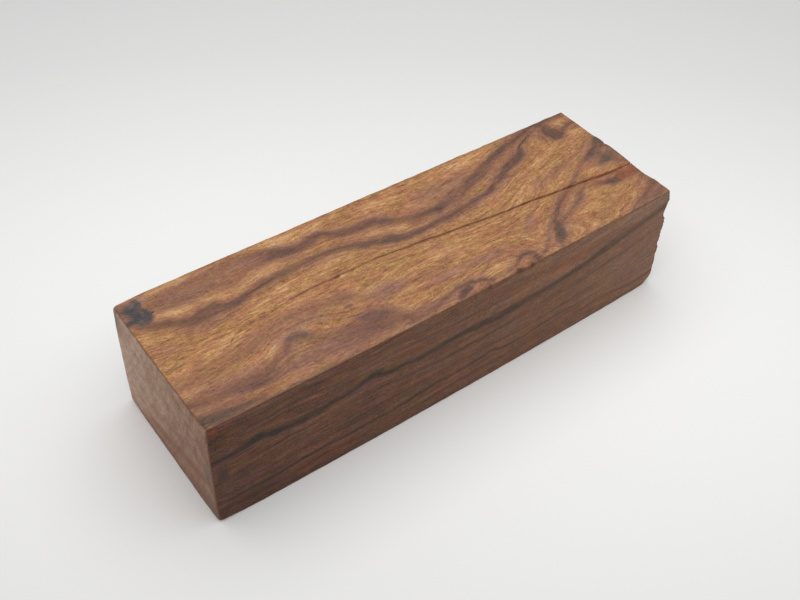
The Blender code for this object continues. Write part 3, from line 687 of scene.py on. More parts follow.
def chip_edges(p):
    """Scoops the chips of the top front edge, then many nibbles at seeded places on all long edges."""
    for place, radius, bite in CHIPS:
        off = (radius - bite) / math.sqrt(2.0)
        p = scooped(p, (place, -WIDTH / 2 - off, HEIGHT + off), radius)
    rng = np.random.default_rng(8)
    for place, radius, bite, edge in zip(
        rng.uniform(-LENGTH / 2, LENGTH / 2, NIBBLES),
        rng.uniform(*NIBBLE_SIZE, NIBBLES),
        rng.uniform(*NIBBLE_BITE, NIBBLES),
        rng.integers(0, 4, NIBBLES),
    ):
        off = (radius - bite) / math.sqrt(2.0)
        side, top = (-1.0 if edge < 2 else 1.0), edge % 2
        centre = (place, side * (WIDTH / 2 + off), HEIGHT + off if top else -off)
        p = scooped(p, centre, radius)
    return p


def hollow_faces(p, outward):
    """Sinks the planed faces by up to FACE_HOLLOW in slow waves, except the bottom that it stands on."""
    around = p[:, 1] + HOLLOW_CLIMB * p[:, 2]
    waves = ripple(p[:, 0] / HOLLOW_STRETCH, around, FACE_WAVE, seed=41)
    sunk = FACE_HOLLOW * (0.5 + 0.5 * np.clip(waves, -1, 1))
    standing = outward[:, 2] < FACES_DOWN
    return p - outward * np.where(standing, 0.0, sunk)[:, None]


def wander(p):
    """Leans and bends the faces as the saw left them: tapers, the foot's flare, the bowed front."""
    along = p[:, 0] / LENGTH
    across = p[:, 1] / WIDTH
    up = p[:, 2] / HEIGHT
    left = 0.5 - along
    x = p[:, 0] + left * (END_LEAN_UP * (up - 0.5) + END_LEAN_ACROSS * across)
    y = p[:, 1] - WIDTH_TAPER * along * across + 2.0 * FOOT_FLARE * across * (1.0 - up)
    y = y + CENTRE_SWAY * along - FRONT_BOW * (1.0 - 4.0 * along**2) * (0.5 - across)
    z = p[:, 2] - HEIGHT_TAPER * along * up
    return np.column_stack([x, y, z])


def shaped(p):
    """All steps of the block's shape, one after another, on the points of the plain box.

    Returns their places in the plain box's frame, and where each point lies on the drawn sheet,
    which bends with the crack's rows.
    """
    rounded, outward = eased(p)
    cracked = add_crack(rounded, outward, p[:, 1])
    drawn = p.copy()
    drawn[:, 1] = cracked[:, 1]
    rough = chip_edges(break_corner(roughen_end(cracked, outward)))
    return wander(hollow_faces(rough, outward)), drawn


# The drawn figure: every long face is part of one sheet that is wrapped round the block


def unrolled(p, face):
    """Place along and round the block: across the top, then down the front as less, the back as more."""
    along, across, up = p[:, 0], p[:, 1], p[:, 2]
    if face == "top":
        return np.column_stack([along, across])
    if face == "front":
        return np.column_stack([along, -WIDTH / 2 - (HEIGHT - up)])
    if face == "back":
        return np.column_stack([along, WIDTH / 2 + (HEIGHT - up)])
    return np.column_stack([along, WIDTH + HEIGHT - across])


def on_sheet(marks, face):
    """Marks drawn on one face, as rows of (along, round, half width, darkness)."""
    marks = np.array(marks, float)
    if face == "end":
        return marks
    if face in ("top", "bottom"):
        places = np.column_stack([marks[:, 0], marks[:, 1], np.zeros(len(marks))])
    else:
        places = np.column_stack([marks[:, 0], np.zeros(len(marks)), marks[:, 1]])
    return np.column_stack([unrolled(places, face), marks[:, 2:]])


def smooth_path(marks, pieces=5):
    """A smooth curve through all marks, each coordinate a cubic between its neighbours (Catmull-Rom)."""
    padded = np.vstack([2 * marks[0] - marks[1], marks, 2 * marks[-1] - marks[-2]])
    a, b, c, d = padded[:-3], padded[1:-2], padded[2:-1], padded[3:]
    t = (np.arange(pieces) / pieces)[None, :, None]
    a, b, c, d = (m[:, None, :] for m in (a, b, c, d))
    curve = 2 * b + (c - a) * t + (2 * a - 5 * b + 4 * c - d) * t**2 + (3 * b - a - 3 * c + d) * t**3
    return np.vstack([0.5 * curve.reshape(-1, marks.shape[1]), marks[-1:]])


def covered(places, path, softness):
    """How much a streak covers each place: its darkness there, fading over its softness at both sides.

    The nearest point of the path's straight pieces gives the distance, and the half width and
    darkness in between are those of the two ends in proportion.
    """
    start, step = path[:-1], np.diff(path, axis=0)
    away = places[:, None, :] - start[None, :, :2]
    length = np.maximum((step[:, :2] ** 2).sum(axis=1), 1e-9)
    t = np.clip((away * step[None, :, :2]).sum(axis=2) / length, 0.0, 1.0)
    gap = np.linalg.norm(away - t[:, :, None] * step[None, :, :2], axis=2)
    half = start[None, :, 2] + t * step[None, :, 2]
    dark = start[None, :, 3] + t * step[None, :, 3]
    nearest = np.argmax(half - gap, axis=1)
    row = np.arange(len(places))
    inside = (half - gap)[row, nearest]
    return dark[row, nearest] * smoothstep(-softness, softness, inside)


def patched(places, face, along, height, reach, across, amount, turn=0.0):
    """How much a soft oval patch covers each place: amount * exp(-(distance / reach) ^ 3)."""
    centre = on_sheet([(along, height, 0.0, 0.0)], face)[0, :2]
    away = places - centre
    turn = math.radians(turn)
    run = away[:, 0] * math.cos(turn) + away[:, 1] * math.sin(turn)
    rise = away[:, 1] * math.cos(turn) - away[:, 0] * math.sin(turn)
    return amount * np.exp(-(((run / reach) ** 2 + (rise / across) ** 2) ** 1.5))


def add_patches(clear, places, face, patches):
    """Takes every patch's cover from the share of each place that its tint has left clear."""
    for tint, ovals in patches.items():
        for oval in ovals:
            clear[tint] *= 1.0 - patched(places, face, *oval)


ALL_STREAKS = [
    (layer, softness, green, on_sheet(marks, face))
    for face, streaks in (
        ("top", TOP_STREAKS), ("front", FRONT_STREAKS),
        ("back", BACK_STREAKS), ("bottom", BOTTOM_STREAKS),
    )
    for _, layer, softness, green, marks in streaks
]


def spline_kernel(a, b):
    """r^2 * log(r) between two sets of places, the bending of a thin plate."""
    r = np.linalg.norm(a[:, None, :] - b[None, :, :], axis=2)
    return np.where(r > 1e-9, r**2 * np.log(np.maximum(r, 1e-9)), 0.0)


def fit_layers():
    """Bends a thin plate through the layer number of every mark.

    Returns the marks and the weights of layer = a + b . place + sum of c * r^2 * log(r).
    """
    marks = [
        (mark[0], mark[1], layer)
        for layer, _, _, path in ALL_STREAKS
        if layer is not None
        for mark in path
    ]
    marks = np.array(marks + list(LAYER_MARKS))
    places = marks[:, :2] * (LAYER_SHORTENING, 1.0)
    count = len(places)
    flat = np.column_stack([np.ones(count), places])
    matrix = np.zeros((count + 3, count + 3))
    matrix[:count, :count] = spline_kernel(places, places) + LAYER_EASE * np.eye(count)
    matrix[:count, count:] = flat
    matrix[count:, :count] = flat.T
    weights = np.linalg.solve(matrix, np.concatenate([marks[:, 2], np.zeros(3)]))
    return places, weights


def layer_at(sheet, plate):
    """The growth layer at each place of the sheet: the fitted plate plus the eyes' bumps."""
    marks, weights = plate
    places = sheet * (LAYER_SHORTENING, 1.0)
    flat = np.column_stack([np.ones(len(places)), places])
    layer = spline_kernel(places, marks) @ weights[:-3] + flat @ weights[-3:]
    for along, across, reach, width, rise in LAYER_BUMPS:
        gap = ((sheet[:, 0] - along) / reach) ** 2 + ((sheet[:, 1] - across) / width) ** 2
        layer = layer + rise * np.exp(-gap)
    return layer


def shaken(sheet, shake, seed):
    """A small uneven shift of the sheet, slower along the grain than across it."""
    shift, slowness, wave = shake
    return shift * ripple(sheet[:, 0] / slowness, sheet[:, 1], wave, seed)


def tints_at(sheet):
    """Every tint's strength at each place of the sheet, from all streaks, patches and hairlines.

    Streaks add up as 1 - product(1 - cover). The places of streaks and patches are shaken a little
    first, so that their drawn sides are not smooth curves.
    """
    shift = [shaken(sheet, SHAKE_ALONG, seed=51), shaken(sheet, SHAKE_ACROSS, seed=52)]
    places = sheet + np.column_stack(shift)
    clear = {tint: np.ones(len(sheet)) for tint in TINTS}
    for _, softness, green, marks in ALL_STREAKS:
        low = marks[:, :2].min(axis=0) - STREAK_REACH
        high = marks[:, :2].max(axis=0) + STREAK_REACH
        close = np.all((places > low) & (places < high), axis=1)
        path = smooth_path(marks)
        cover = covered(places[close], path, softness + EXTRA_SOFT)
        clear["dark"][close] *= 1.0 - cover
        clear["green"][close] *= 1.0 - green * cover
        halo = covered(places[close], path + (0.0, 0.0, HALO_WIDTH, 0.0), HALO_SOFT)
        clear["mauve"][close] *= 1.0 - HALO_SHARE * halo
    for marks in (*TOP_HAIRLINES, CRACK_LINING_AND_SHADE):
        path = smooth_path(on_sheet(marks, "top"))
        clear["hair"] *= 1.0 - covered(sheet, path, HAIR_SOFT)
    add_patches(clear, places, "top", TOP_PATCHES)
    add_patches(clear, places, "front", FRONT_PATCHES)
    return {tint: 1.0 - left for tint, left in clear.items()}


def end_tints_at(p):
    """Every tint's strength at each place of an end: only the patches of END_PATCHES."""
    clear = {tint: np.ones(len(p)) for tint in TINTS}
    add_patches(clear, p[:, 1:], "end", END_PATCHES)
    return {tint: 1.0 - left for tint, left in clear.items()}


# The mesh of the block

SHEET_MARGIN = 0.006
SHEET_SCALE = (1.0 - 2.0 * SHEET_MARGIN) / LENGTH
SMALL_SCALE = 0.55 * SHEET_SCALE
RING_HEART = (64.0, 70.0)
RING_FLATTENING = 0.8


def quads(numbers, turned):
    """Four corners for each square of a grid of point numbers, anticlockwise seen from outside."""
    a, b, c, d = numbers[:-1, :-1], numbers[1:, :-1], numbers[1:, 1:], numbers[:-1, 1:]
    order = (a, d, c, b) if turned else (a, b, c, d)
    return np.stack(order, axis=-1).reshape(-1, 4)


def face_quads(numbers):
    """The squares of each of the six faces."""
    return {
        "top": quads(numbers[:, :, -1], False),
        "front": quads(numbers[:, 0, :], False),
        "back": quads(numbers[:, -1, :], True),
        "bottom": quads(numbers[:, :, 0], True),
        "left": quads(numbers[0, :, :], True),
        "right": quads(numbers[-1, :, :], False),
    }


def picture_place(p, face):
    """Where each point of a face lies on the block's own picture: long strips and small faces."""
    along, across, up = p[:, 0] + LENGTH / 2, p[:, 1] + WIDTH / 2, p[:, 2]
    margin, strip, small = SHEET_MARGIN, SHEET_SCALE, SMALL_SCALE
    top_floor = 1.0 - margin - WIDTH * strip
    front_floor = top_floor - margin - HEIGHT * strip
    back_floor = front_floor - margin - HEIGHT * strip
    right_start = 2 * margin + LENGTH * small
    left_start = right_start + margin + WIDTH * small
    u, v = {
        "top": (margin + along * strip, top_floor + across * strip),
        "front": (margin + along * strip, front_floor + up * strip),
        "back": (margin + along * strip, back_floor + up * strip),
        "bottom": (margin + along * small, margin + across * small),
        "right": (right_start + across * small, margin + up * small),
        "left": (left_start + across * small, margin + up * small),
    }[face]
    return np.column_stack([u, v])


def edge_distance(p):
    """How far each point is from the plain box's nearest edge: the second smallest distance to a face."""
    half = np.array((LENGTH / 2, WIDTH / 2, HEIGHT / 2))
    inside = half - np.abs(p - (0.0, 0.0, HEIGHT / 2))
    return np.sort(inside, axis=1)[:, 1]


def ring_layer(p):
    """Growth rings across an end: the distance from a heart far above the back edge."""
    return np.hypot(p[:, 1] - RING_HEART[0], RING_FLATTENING * (p[:, 2] - RING_HEART[1]))


def build_block():
    """The whole block as one closed mesh in metres, with its tints on every face corner."""
    numbers, nominal = plain_box()
    places, drawn = shaped(nominal)
    corners, uvs, materials, values = [], [], [], {name: [] for name in (*TINTS, "layer", "edge")}
    plate = fit_layers()
    for face, squares in face_quads(numbers).items():
        used, index = np.unique(squares, return_inverse=True)
        index = index.reshape(-1)
        corners.append(squares)
        uvs.append(picture_place(nominal[used], face)[index])
        if face in ("left", "right"):
            tints = end_tints_at(drawn[used])
            layer = ring_layer(drawn[used])
        else:
            sheet = unrolled(drawn[used], face)
            tints = tints_at(sheet)
            layer = layer_at(sheet, plate)
        for tint in TINTS:
            values[tint].append(tints[tint][index])
        values["layer"].append(layer[index])
        values["edge"].append(edge_distance(nominal[used])[index])
        slot = {"left": 2, "right": 3, "front": 1, "back": 1}.get(face, 0)
        materials.append(np.full(len(squares), slot))
    corners = np.vstack(corners)
    mesh = bpy.data.meshes.new("ironwood_block_wood")
    mesh.vertices.add(len(places))
    mesh.vertices.foreach_set("co", ((places - FOOT_MIDDLE) * MM).astype(np.float32).ravel())
    mesh.loops.add(corners.size)
    mesh.loops.foreach_set("vertex_index", corners.astype(np.int32).ravel())
    mesh.polygons.add(len(corners))
    mesh.polygons.foreach_set("loop_start", np.arange(len(corners), dtype=np.int32) * 4)
    mesh.polygons.foreach_set("material_index", np.concatenate(materials).astype(np.int32))
    mesh.update(calc_edges=True)
    mesh.polygons.foreach_set("use_smooth", np.ones(len(corners), bool))
    picture = mesh.uv_layers.new(name="OFBake")
    picture.data.foreach_set("uv", np.vstack(uvs).astype(np.float32).ravel())
    for name, parts in values.items():
        attribute = mesh.attributes.new(name, "FLOAT", "CORNER")
        attribute.data.foreach_set("value", np.concatenate(parts).astype(np.float32))
    mesh.validate()
    block = bpy.data.objects.new("ironwood_block_figured", mesh)
    bpy.context.scene.collection.objects.link(block)
    return block


# Materials


def srgb(red, green, blue):
    """A colour written as on a screen, 0 to 255, turned to the linear numbers that shaders use."""
    screen = np.array((red, green, blue)) / 255.0
    linear = np.where(screen <= 0.04045, screen / 12.92, ((screen + 0.055) / 1.055) ** 2.4)
    return (*[float(c) for c in linear], 1.0)


def stops(*marks):
    """The stops of a colour ramp, each written as (place, red, green, blue)."""
    return [(place, srgb(*colour)) for place, *colour in marks]


class Tree:
    """Short ways to put nodes into one material or one node group."""

    def __init__(self, tree):
        self.tree = tree

    def node(self, kind, inputs=None, **settings):
        """Adds a node, sets what it is told, and sets or links each named or numbered input."""
        made = self.tree.nodes.new(kind)
        for name, value in settings.items():
            setattr(made, name, value)
        for name, value in (inputs or {}).items():
            self.give(made.inputs[name], value)
        return made

    def give(self, socket, value):
        """Links an output to the socket, or sets the socket's own value."""
        if isinstance(value, bpy.types.NodeSocket):
            self.tree.links.new(value, socket)
        else:
            socket.default_value = value

    def group(self, group, inputs):
        """Places a node group with its own values, and returns its outputs."""
        return self.node("ShaderNodeGroup", inputs, node_tree=group).outputs

    def parts(self, vector):
        """The outputs X, Y and Z of a vector."""
        return self.node("ShaderNodeSeparateXYZ", {0: vector}).outputs

    def vector(self, x, y, z):
        return self.node("ShaderNodeCombineXYZ", {0: x, 1: y, 2: z}).outputs[0]

    def math(self, operation, a, b=0.0, clamp=False):
        made = self.node("ShaderNodeMath", {0: a, 1: b}, operation=operation, use_clamp=clamp)
        return made.outputs[0]

    def add(self, a, b):
        return self.math("ADD", a, b)

    def less(self, a, b):
        return self.math("SUBTRACT", a, b)

    def times(self, a, b):
        return self.math("MULTIPLY", a, b)

    def centred(self, greys):
        """Greys that lie round 0.5, moved to lie round 0."""
        return {name: self.less(grey, 0.5) for name, grey in greys.items()}

    def summed(self, base, values, shares):
        """The base plus each value times the share that has its name."""
        for name, share in shares.items():
            base = self.add(base, self.times(values[name], share))
        return base

    def spread(self, value, low, high, to_low=0.0, to_high=1.0, smooth=True):
        """Maps low..high to another range, with soft ends and nothing outside it."""
        made = self.node(
            "ShaderNodeMapRange",
            {"Value": value, "From Min": low, "From Max": high, "To Min": to_low, "To Max": to_high},
            interpolation_type="SMOOTHSTEP" if smooth else "LINEAR",
        )
        return made.outputs["Result"]

    def blend(self, share, a, b):
        """Colour a, going over to colour b by the share."""
        made = self.node("ShaderNodeMix", data_type="RGBA")
        self.give(made.inputs[0], share)
        self.give(made.inputs[6], a)
        self.give(made.inputs[7], b)
        return made.outputs[2]

    def ramp(self, value, marks):
        """Colour from a ramp of (place, colour) stops."""
        made = self.node("ShaderNodeValToRGB", {"Fac": value})
        made.color_ramp.elements[0].position, made.color_ramp.elements[0].color = marks[0]
        made.color_ramp.elements[1].position, made.color_ramp.elements[1].color = marks[-1]
        for place, colour in marks[1:-1]:
            made.color_ramp.elements.new(place).color = colour
        return made.outputs["Color"]

    def noise(self, vector, scale=1.0, detail=2.0, roughness=0.5):
        inputs = {"Vector": vector, "Scale": scale, "Detail": detail, "Roughness": roughness}
        return self.node("ShaderNodeTexNoise", inputs).outputs[0]

    def stretch(self, vector, scale, move=(0.0, 0.0, 0.0)):
        """The vector scaled along each axis, then moved."""
        made = self.node("ShaderNodeMapping", {"Vector": vector, "Scale": scale, "Location": move})
        return made.outputs["Vector"]


def new_group(name, inputs, outputs):
    """An empty shader node group. inputs are (name, kind, default) and outputs (name, kind)."""
    group = bpy.data.node_groups.new(name, "ShaderNodeTree")
    for title, kind, default in inputs:
        socket = group.interface.new_socket(title, in_out="INPUT", socket_type=f"NodeSocket{kind}")
        if default is not None:
            socket.default_value = default
    for title, kind in outputs:
        group.interface.new_socket(title, in_out="OUTPUT", socket_type=f"NodeSocket{kind}")
    tree = Tree(group)
    return group, tree, tree.node("NodeGroupInput").outputs, tree.node("NodeGroupOutput").inputs


def in_fibres(tree, given):
    """The grain's place with X counted in lengths and Y in widths of one fibre or pore, and its Z."""
    parts = tree.parts(given["Grain"])
    x = tree.math("DIVIDE", parts["X"], given["Length"])
    y = tree.math("DIVIDE", parts["Y"], given["Width"])
    return x, y, parts["Z"]


def threads_group():
    """Fine fibres that run along the grain and swell and fade, as a mask from 0 to 1."""
    group, tree, given, result = new_group(
        "wood_threads",
        [("Grain", "Vector", None), ("Length", "Float", 6.0), ("Width", "Float", 0.4),
         ("Contrast", "Float", 2.0), ("Shift", "Float", 0.0)],
        [("Threads", "Float")],
    )
    x, y, z = in_fibres(tree, given)
    z = tree.add(tree.times(z, 0.15), given["Shift"])
    grey = tree.noise(tree.vector(x, y, z), detail=3.0, roughness=0.55)
    centred = tree.times(tree.less(grey, 0.5), given["Contrast"])
    tree.give(result["Threads"], tree.math("ADD", centred, 0.5, clamp=True))
    return group


def pores_group():
    """Open pores: short dark dashes along the grain, scattered, as a mask from 0 to 1."""
    group, tree, given, result = new_group(
        "wood_pores",
        [("Grain", "Vector", None), ("Length", "Float", 1.4), ("Width", "Float", 0.22),
         ("Share", "Float", 0.35)],
        [("Pores", "Float")],
    )
    fibres = tree.vector(*in_fibres(tree, given))
    cells = tree.node("ShaderNodeTexVoronoi", {"Vector": fibres, "Scale": 1.0}, feature="F1").outputs
    dash = tree.spread(cells["Distance"], 0.42, 0.16)
    chosen = tree.node("ShaderNodeSeparateColor", {0: cells["Color"]}).outputs[0]
    kept = tree.math("LESS_THAN", chosen, given["Share"])
    tree.give(result["Pores"], tree.times(dash, kept))
    return group


def saw_marks_group():
    """Marks of a saw: ridges at a pitch along a slanted direction, broken up by noise, 0 to 1 high."""
    group, tree, given, result = new_group(
        "saw_marks",
        [("Place", "Vector", None), ("Pitch", "Float", 1.2), ("Direction", "Vector", (0.0, 0.12, 1.0)),
         ("Break up", "Float", 0.5)],
        [("Height", "Float")],
    )
    place = given["Place"]
    run = tree.node("ShaderNodeVectorMath", {0: place, 1: given["Direction"]}, operation="DOT_PRODUCT")
    uneven = tree.times(tree.noise(place, 0.35), given["Break up"])
    turns = tree.times(tree.add(run.outputs["Value"], uneven), math.tau)
    wave = tree.math("SINE", tree.math("DIVIDE", turns, given["Pitch"]))
    soft = tree.add(tree.times(wave, 0.5), 0.5)
    worn = tree.spread(tree.noise(place, 0.8, 3.0), 0.35, 0.65)
    tree.give(result["Height"], tree.times(soft, worn))
    return group


def edge_wear_group():
    """Where handling has rubbed the edges: a broken line along them, as a mask from 0 to 1."""
    group, tree, given, result = new_group(
        "edge_wear",
        [("Edge", "Float", 1.0), ("Place", "Vector", None), ("Reach", "Float", 0.5)],
        [("Worn", "Float")],
    )
    uneven = tree.spread(tree.noise(given["Place"], 0.9, 4.0, 0.65), 0.3, 0.75, 0.1, 1.9, smooth=False)
    share = tree.math("DIVIDE", given["Edge"], tree.times(given["Reach"], uneven))
    tree.give(result["Worn"], tree.spread(share, 1.0, 0.2))
    return group


# Colours of the wood, as seen on a screen under a neutral light
GOLDEN = stops((0, 114, 76, 46), (0.3, 150, 107, 66), (0.55, 172, 127, 79), (0.8, 197, 153, 102),
               (1, 213, 175, 130))
RUSSET = stops((0, 118, 73, 51), (0.3, 152, 100, 69), (0.55, 171, 117, 80), (0.8, 187, 134, 93),
               (1, 200, 153, 110))
MAUVE = stops((0, 107, 74, 66), (0.5, 138, 98, 84), (1, 165, 124, 104))
STREAK = stops((0, 143, 97, 74), (0.45, 117, 76, 62), (0.85, 95, 64, 56), (1, 83, 57, 52))
SIDE_STREAK = stops((0, 94, 64, 47), (0.5, 66, 47, 38), (1, 48, 38, 34))
GREEN = stops((0.1, 46, 42, 37), (0.9, 104, 90, 75))
RUST = stops((0.1, 104, 50, 34), (0.9, 164, 92, 60))
BARK = stops((0.36, 63, 61, 66), (0.52, 82, 73, 72), (0.68, 124, 96, 86))
SIDE = stops((0, 66, 45, 35), (0.45, 104, 75, 58), (0.75, 126, 97, 80), (1, 150, 122, 104))
SIDE_WARM = stops((0, 78, 46, 34), (0.45, 115, 76, 54), (0.75, 137, 98, 71), (1, 158, 121, 90))
END = stops((0, 114, 81, 65), (0.5, 158, 125, 105), (1, 198, 170, 150))
VIOLET = srgb(126, 82, 94)
OLIVE = srgb(134, 104, 46)
END_RED = srgb(132, 86, 70)
END_GREY = srgb(116, 102, 94)
HAIRLINE = srgb(86, 48, 32)
PORE = srgb(98, 66, 50)
WORN_WOOD = srgb(110, 76, 54)
END_RIM = srgb(104, 76, 58)
TOP_PLAIN = srgb(163, 116, 77)
SIDE_PLAIN = srgb(108, 74, 56)
END_PLAIN = srgb(160, 134, 116)

# Fibres of the long grain: length and width in millimetres, contrast, and a shift that sets them apart
FIBRES = {
    "broad": (16.0, 2.4, 2.6, 3.0),
    "middle": (9.0, 0.8, 2.6, 11.0),
    "fine": (3.5, 0.26, 2.8, 23.0),
    "lines": (24.0, 0.55, 3.4, 37.0),
    "long lines": (70.0, 0.5, 3.0, 51.0),
    "long fine": (26.0, 0.24, 2.8, 63.0),
}

# How far the growth layers sway, in layers: on the top, how much less on the long sides, and finely
TOP_SWAY = 2.2
SIDE_SWAY_LESS = 1.7
FINE_SWAY = 0.5

# Tone of the plain wood, what full gold adds to it, and how much paler it gets per millimetre
TOP_TONE = 0.46
SIDE_TONE = 0.44
SMOOTH_END_TONE = 0.57
ROUGH_END_TONE = 0.3
TOP_GOLD = 0.3
SIDE_GOLD = 0.22
SIDE_PALER_ALONG = 0.0046
SIDE_PALER_UP = 0.002
END_PALER_ACROSS = 0.013
END_PALER_UP = 0.007
HALF_WAY_UP = 15.0

# What each kind of grain adds to the tone, to the roughness and to the height
TOP_GRAIN = {
    "broad": 0.16, "middle": 0.3, "fine": 0.42, "mottle": 0.6, "flecks": 0.95, "specks": 0.9,
    "lines": -0.18,
}
SIDE_GRAIN = {
    "broad": 0.1, "middle": 0.1, "long lines": -0.16, "long fine": 0.2, "mottle": 0.5, "specks": 1.1,
}
END_GRAIN = {"rings": 0.7, "mottle": 0.9, "specks": 0.8, "grit": 0.8, "saw marks": 0.12}
LONG_ROUGHNESS = {"mottle": 0.3, "fine": 0.12}
END_ROUGHNESS = {"specks": 0.25}
LONG_HEIGHT = {"fine": 0.5, "middle": 0.35, "pores": -0.9, "hair": -1.2}
END_HEIGHT = {"specks": 0.5, "grit": 0.4, "saw marks": 0.5}

# How the soft sides of all that is drawn are torn by the grain, and how much of it for each tint
TEARS = {"middle": 1.6, "fine": 1.0, "mottle": 1.8}
RAGGED = {"mauve": 1.4, "dark": 1.2, "green": 1.3, "rust": 1.8, "bark": 1.2}

# How strongly some tints take over the colour, and where a slow noise turns it warm, violet or olive:
# from one value to another, and the shares there
STRENGTH = {"mauve": 0.95, "green": 0.9, "rust": 0.75, "hair": 0.8, "pores": 0.16, "wear": 0.5}
SIDE_MAUVE_LESS = 0.45
STREAK_GRAIN = 0.5
TOP_WARMING = (0.36, 0.64)
SIDE_WARMING = (0.42, 0.58)
VIOLET_SHARE = (0.5, 0.72, 0.0, 0.22)
OLIVE_SHARE = (0.28, 0.5, 0.2, 0.0)

# Finish of the faces: roughness, depth of the fine relief, gleam, worn edges, and marks of the saw
PLAIN_ROUGHNESS = 0.56
DARK_SMOOTHER = 0.05
PLAIN_END_ROUGHNESS = 0.72
LONG_RELIEF = 0.06 * MM
SMOOTH_END_RELIEF = 0.05 * MM
ROUGH_END_RELIEF = 0.12 * MM
TOP_GLEAM = 0.22
SIDE_GLEAM = 0.12
END_GLEAM = 0.15
WOOD_IOR = 1.5
LONG_WEAR = 0.45
END_WEAR = 0.75
PLANED_PITCH = 1.9
PLANED_DIRECTION = (1.0, 0.25, 0.2)
PLANED_BREAK_UP = 2.0
PLANED_MARKS = 0.25
SMOOTH_END_PITCH = 1.6
END_WEAR_STRENGTH = 0.75
FLECK_TURN = math.radians(-32.0)


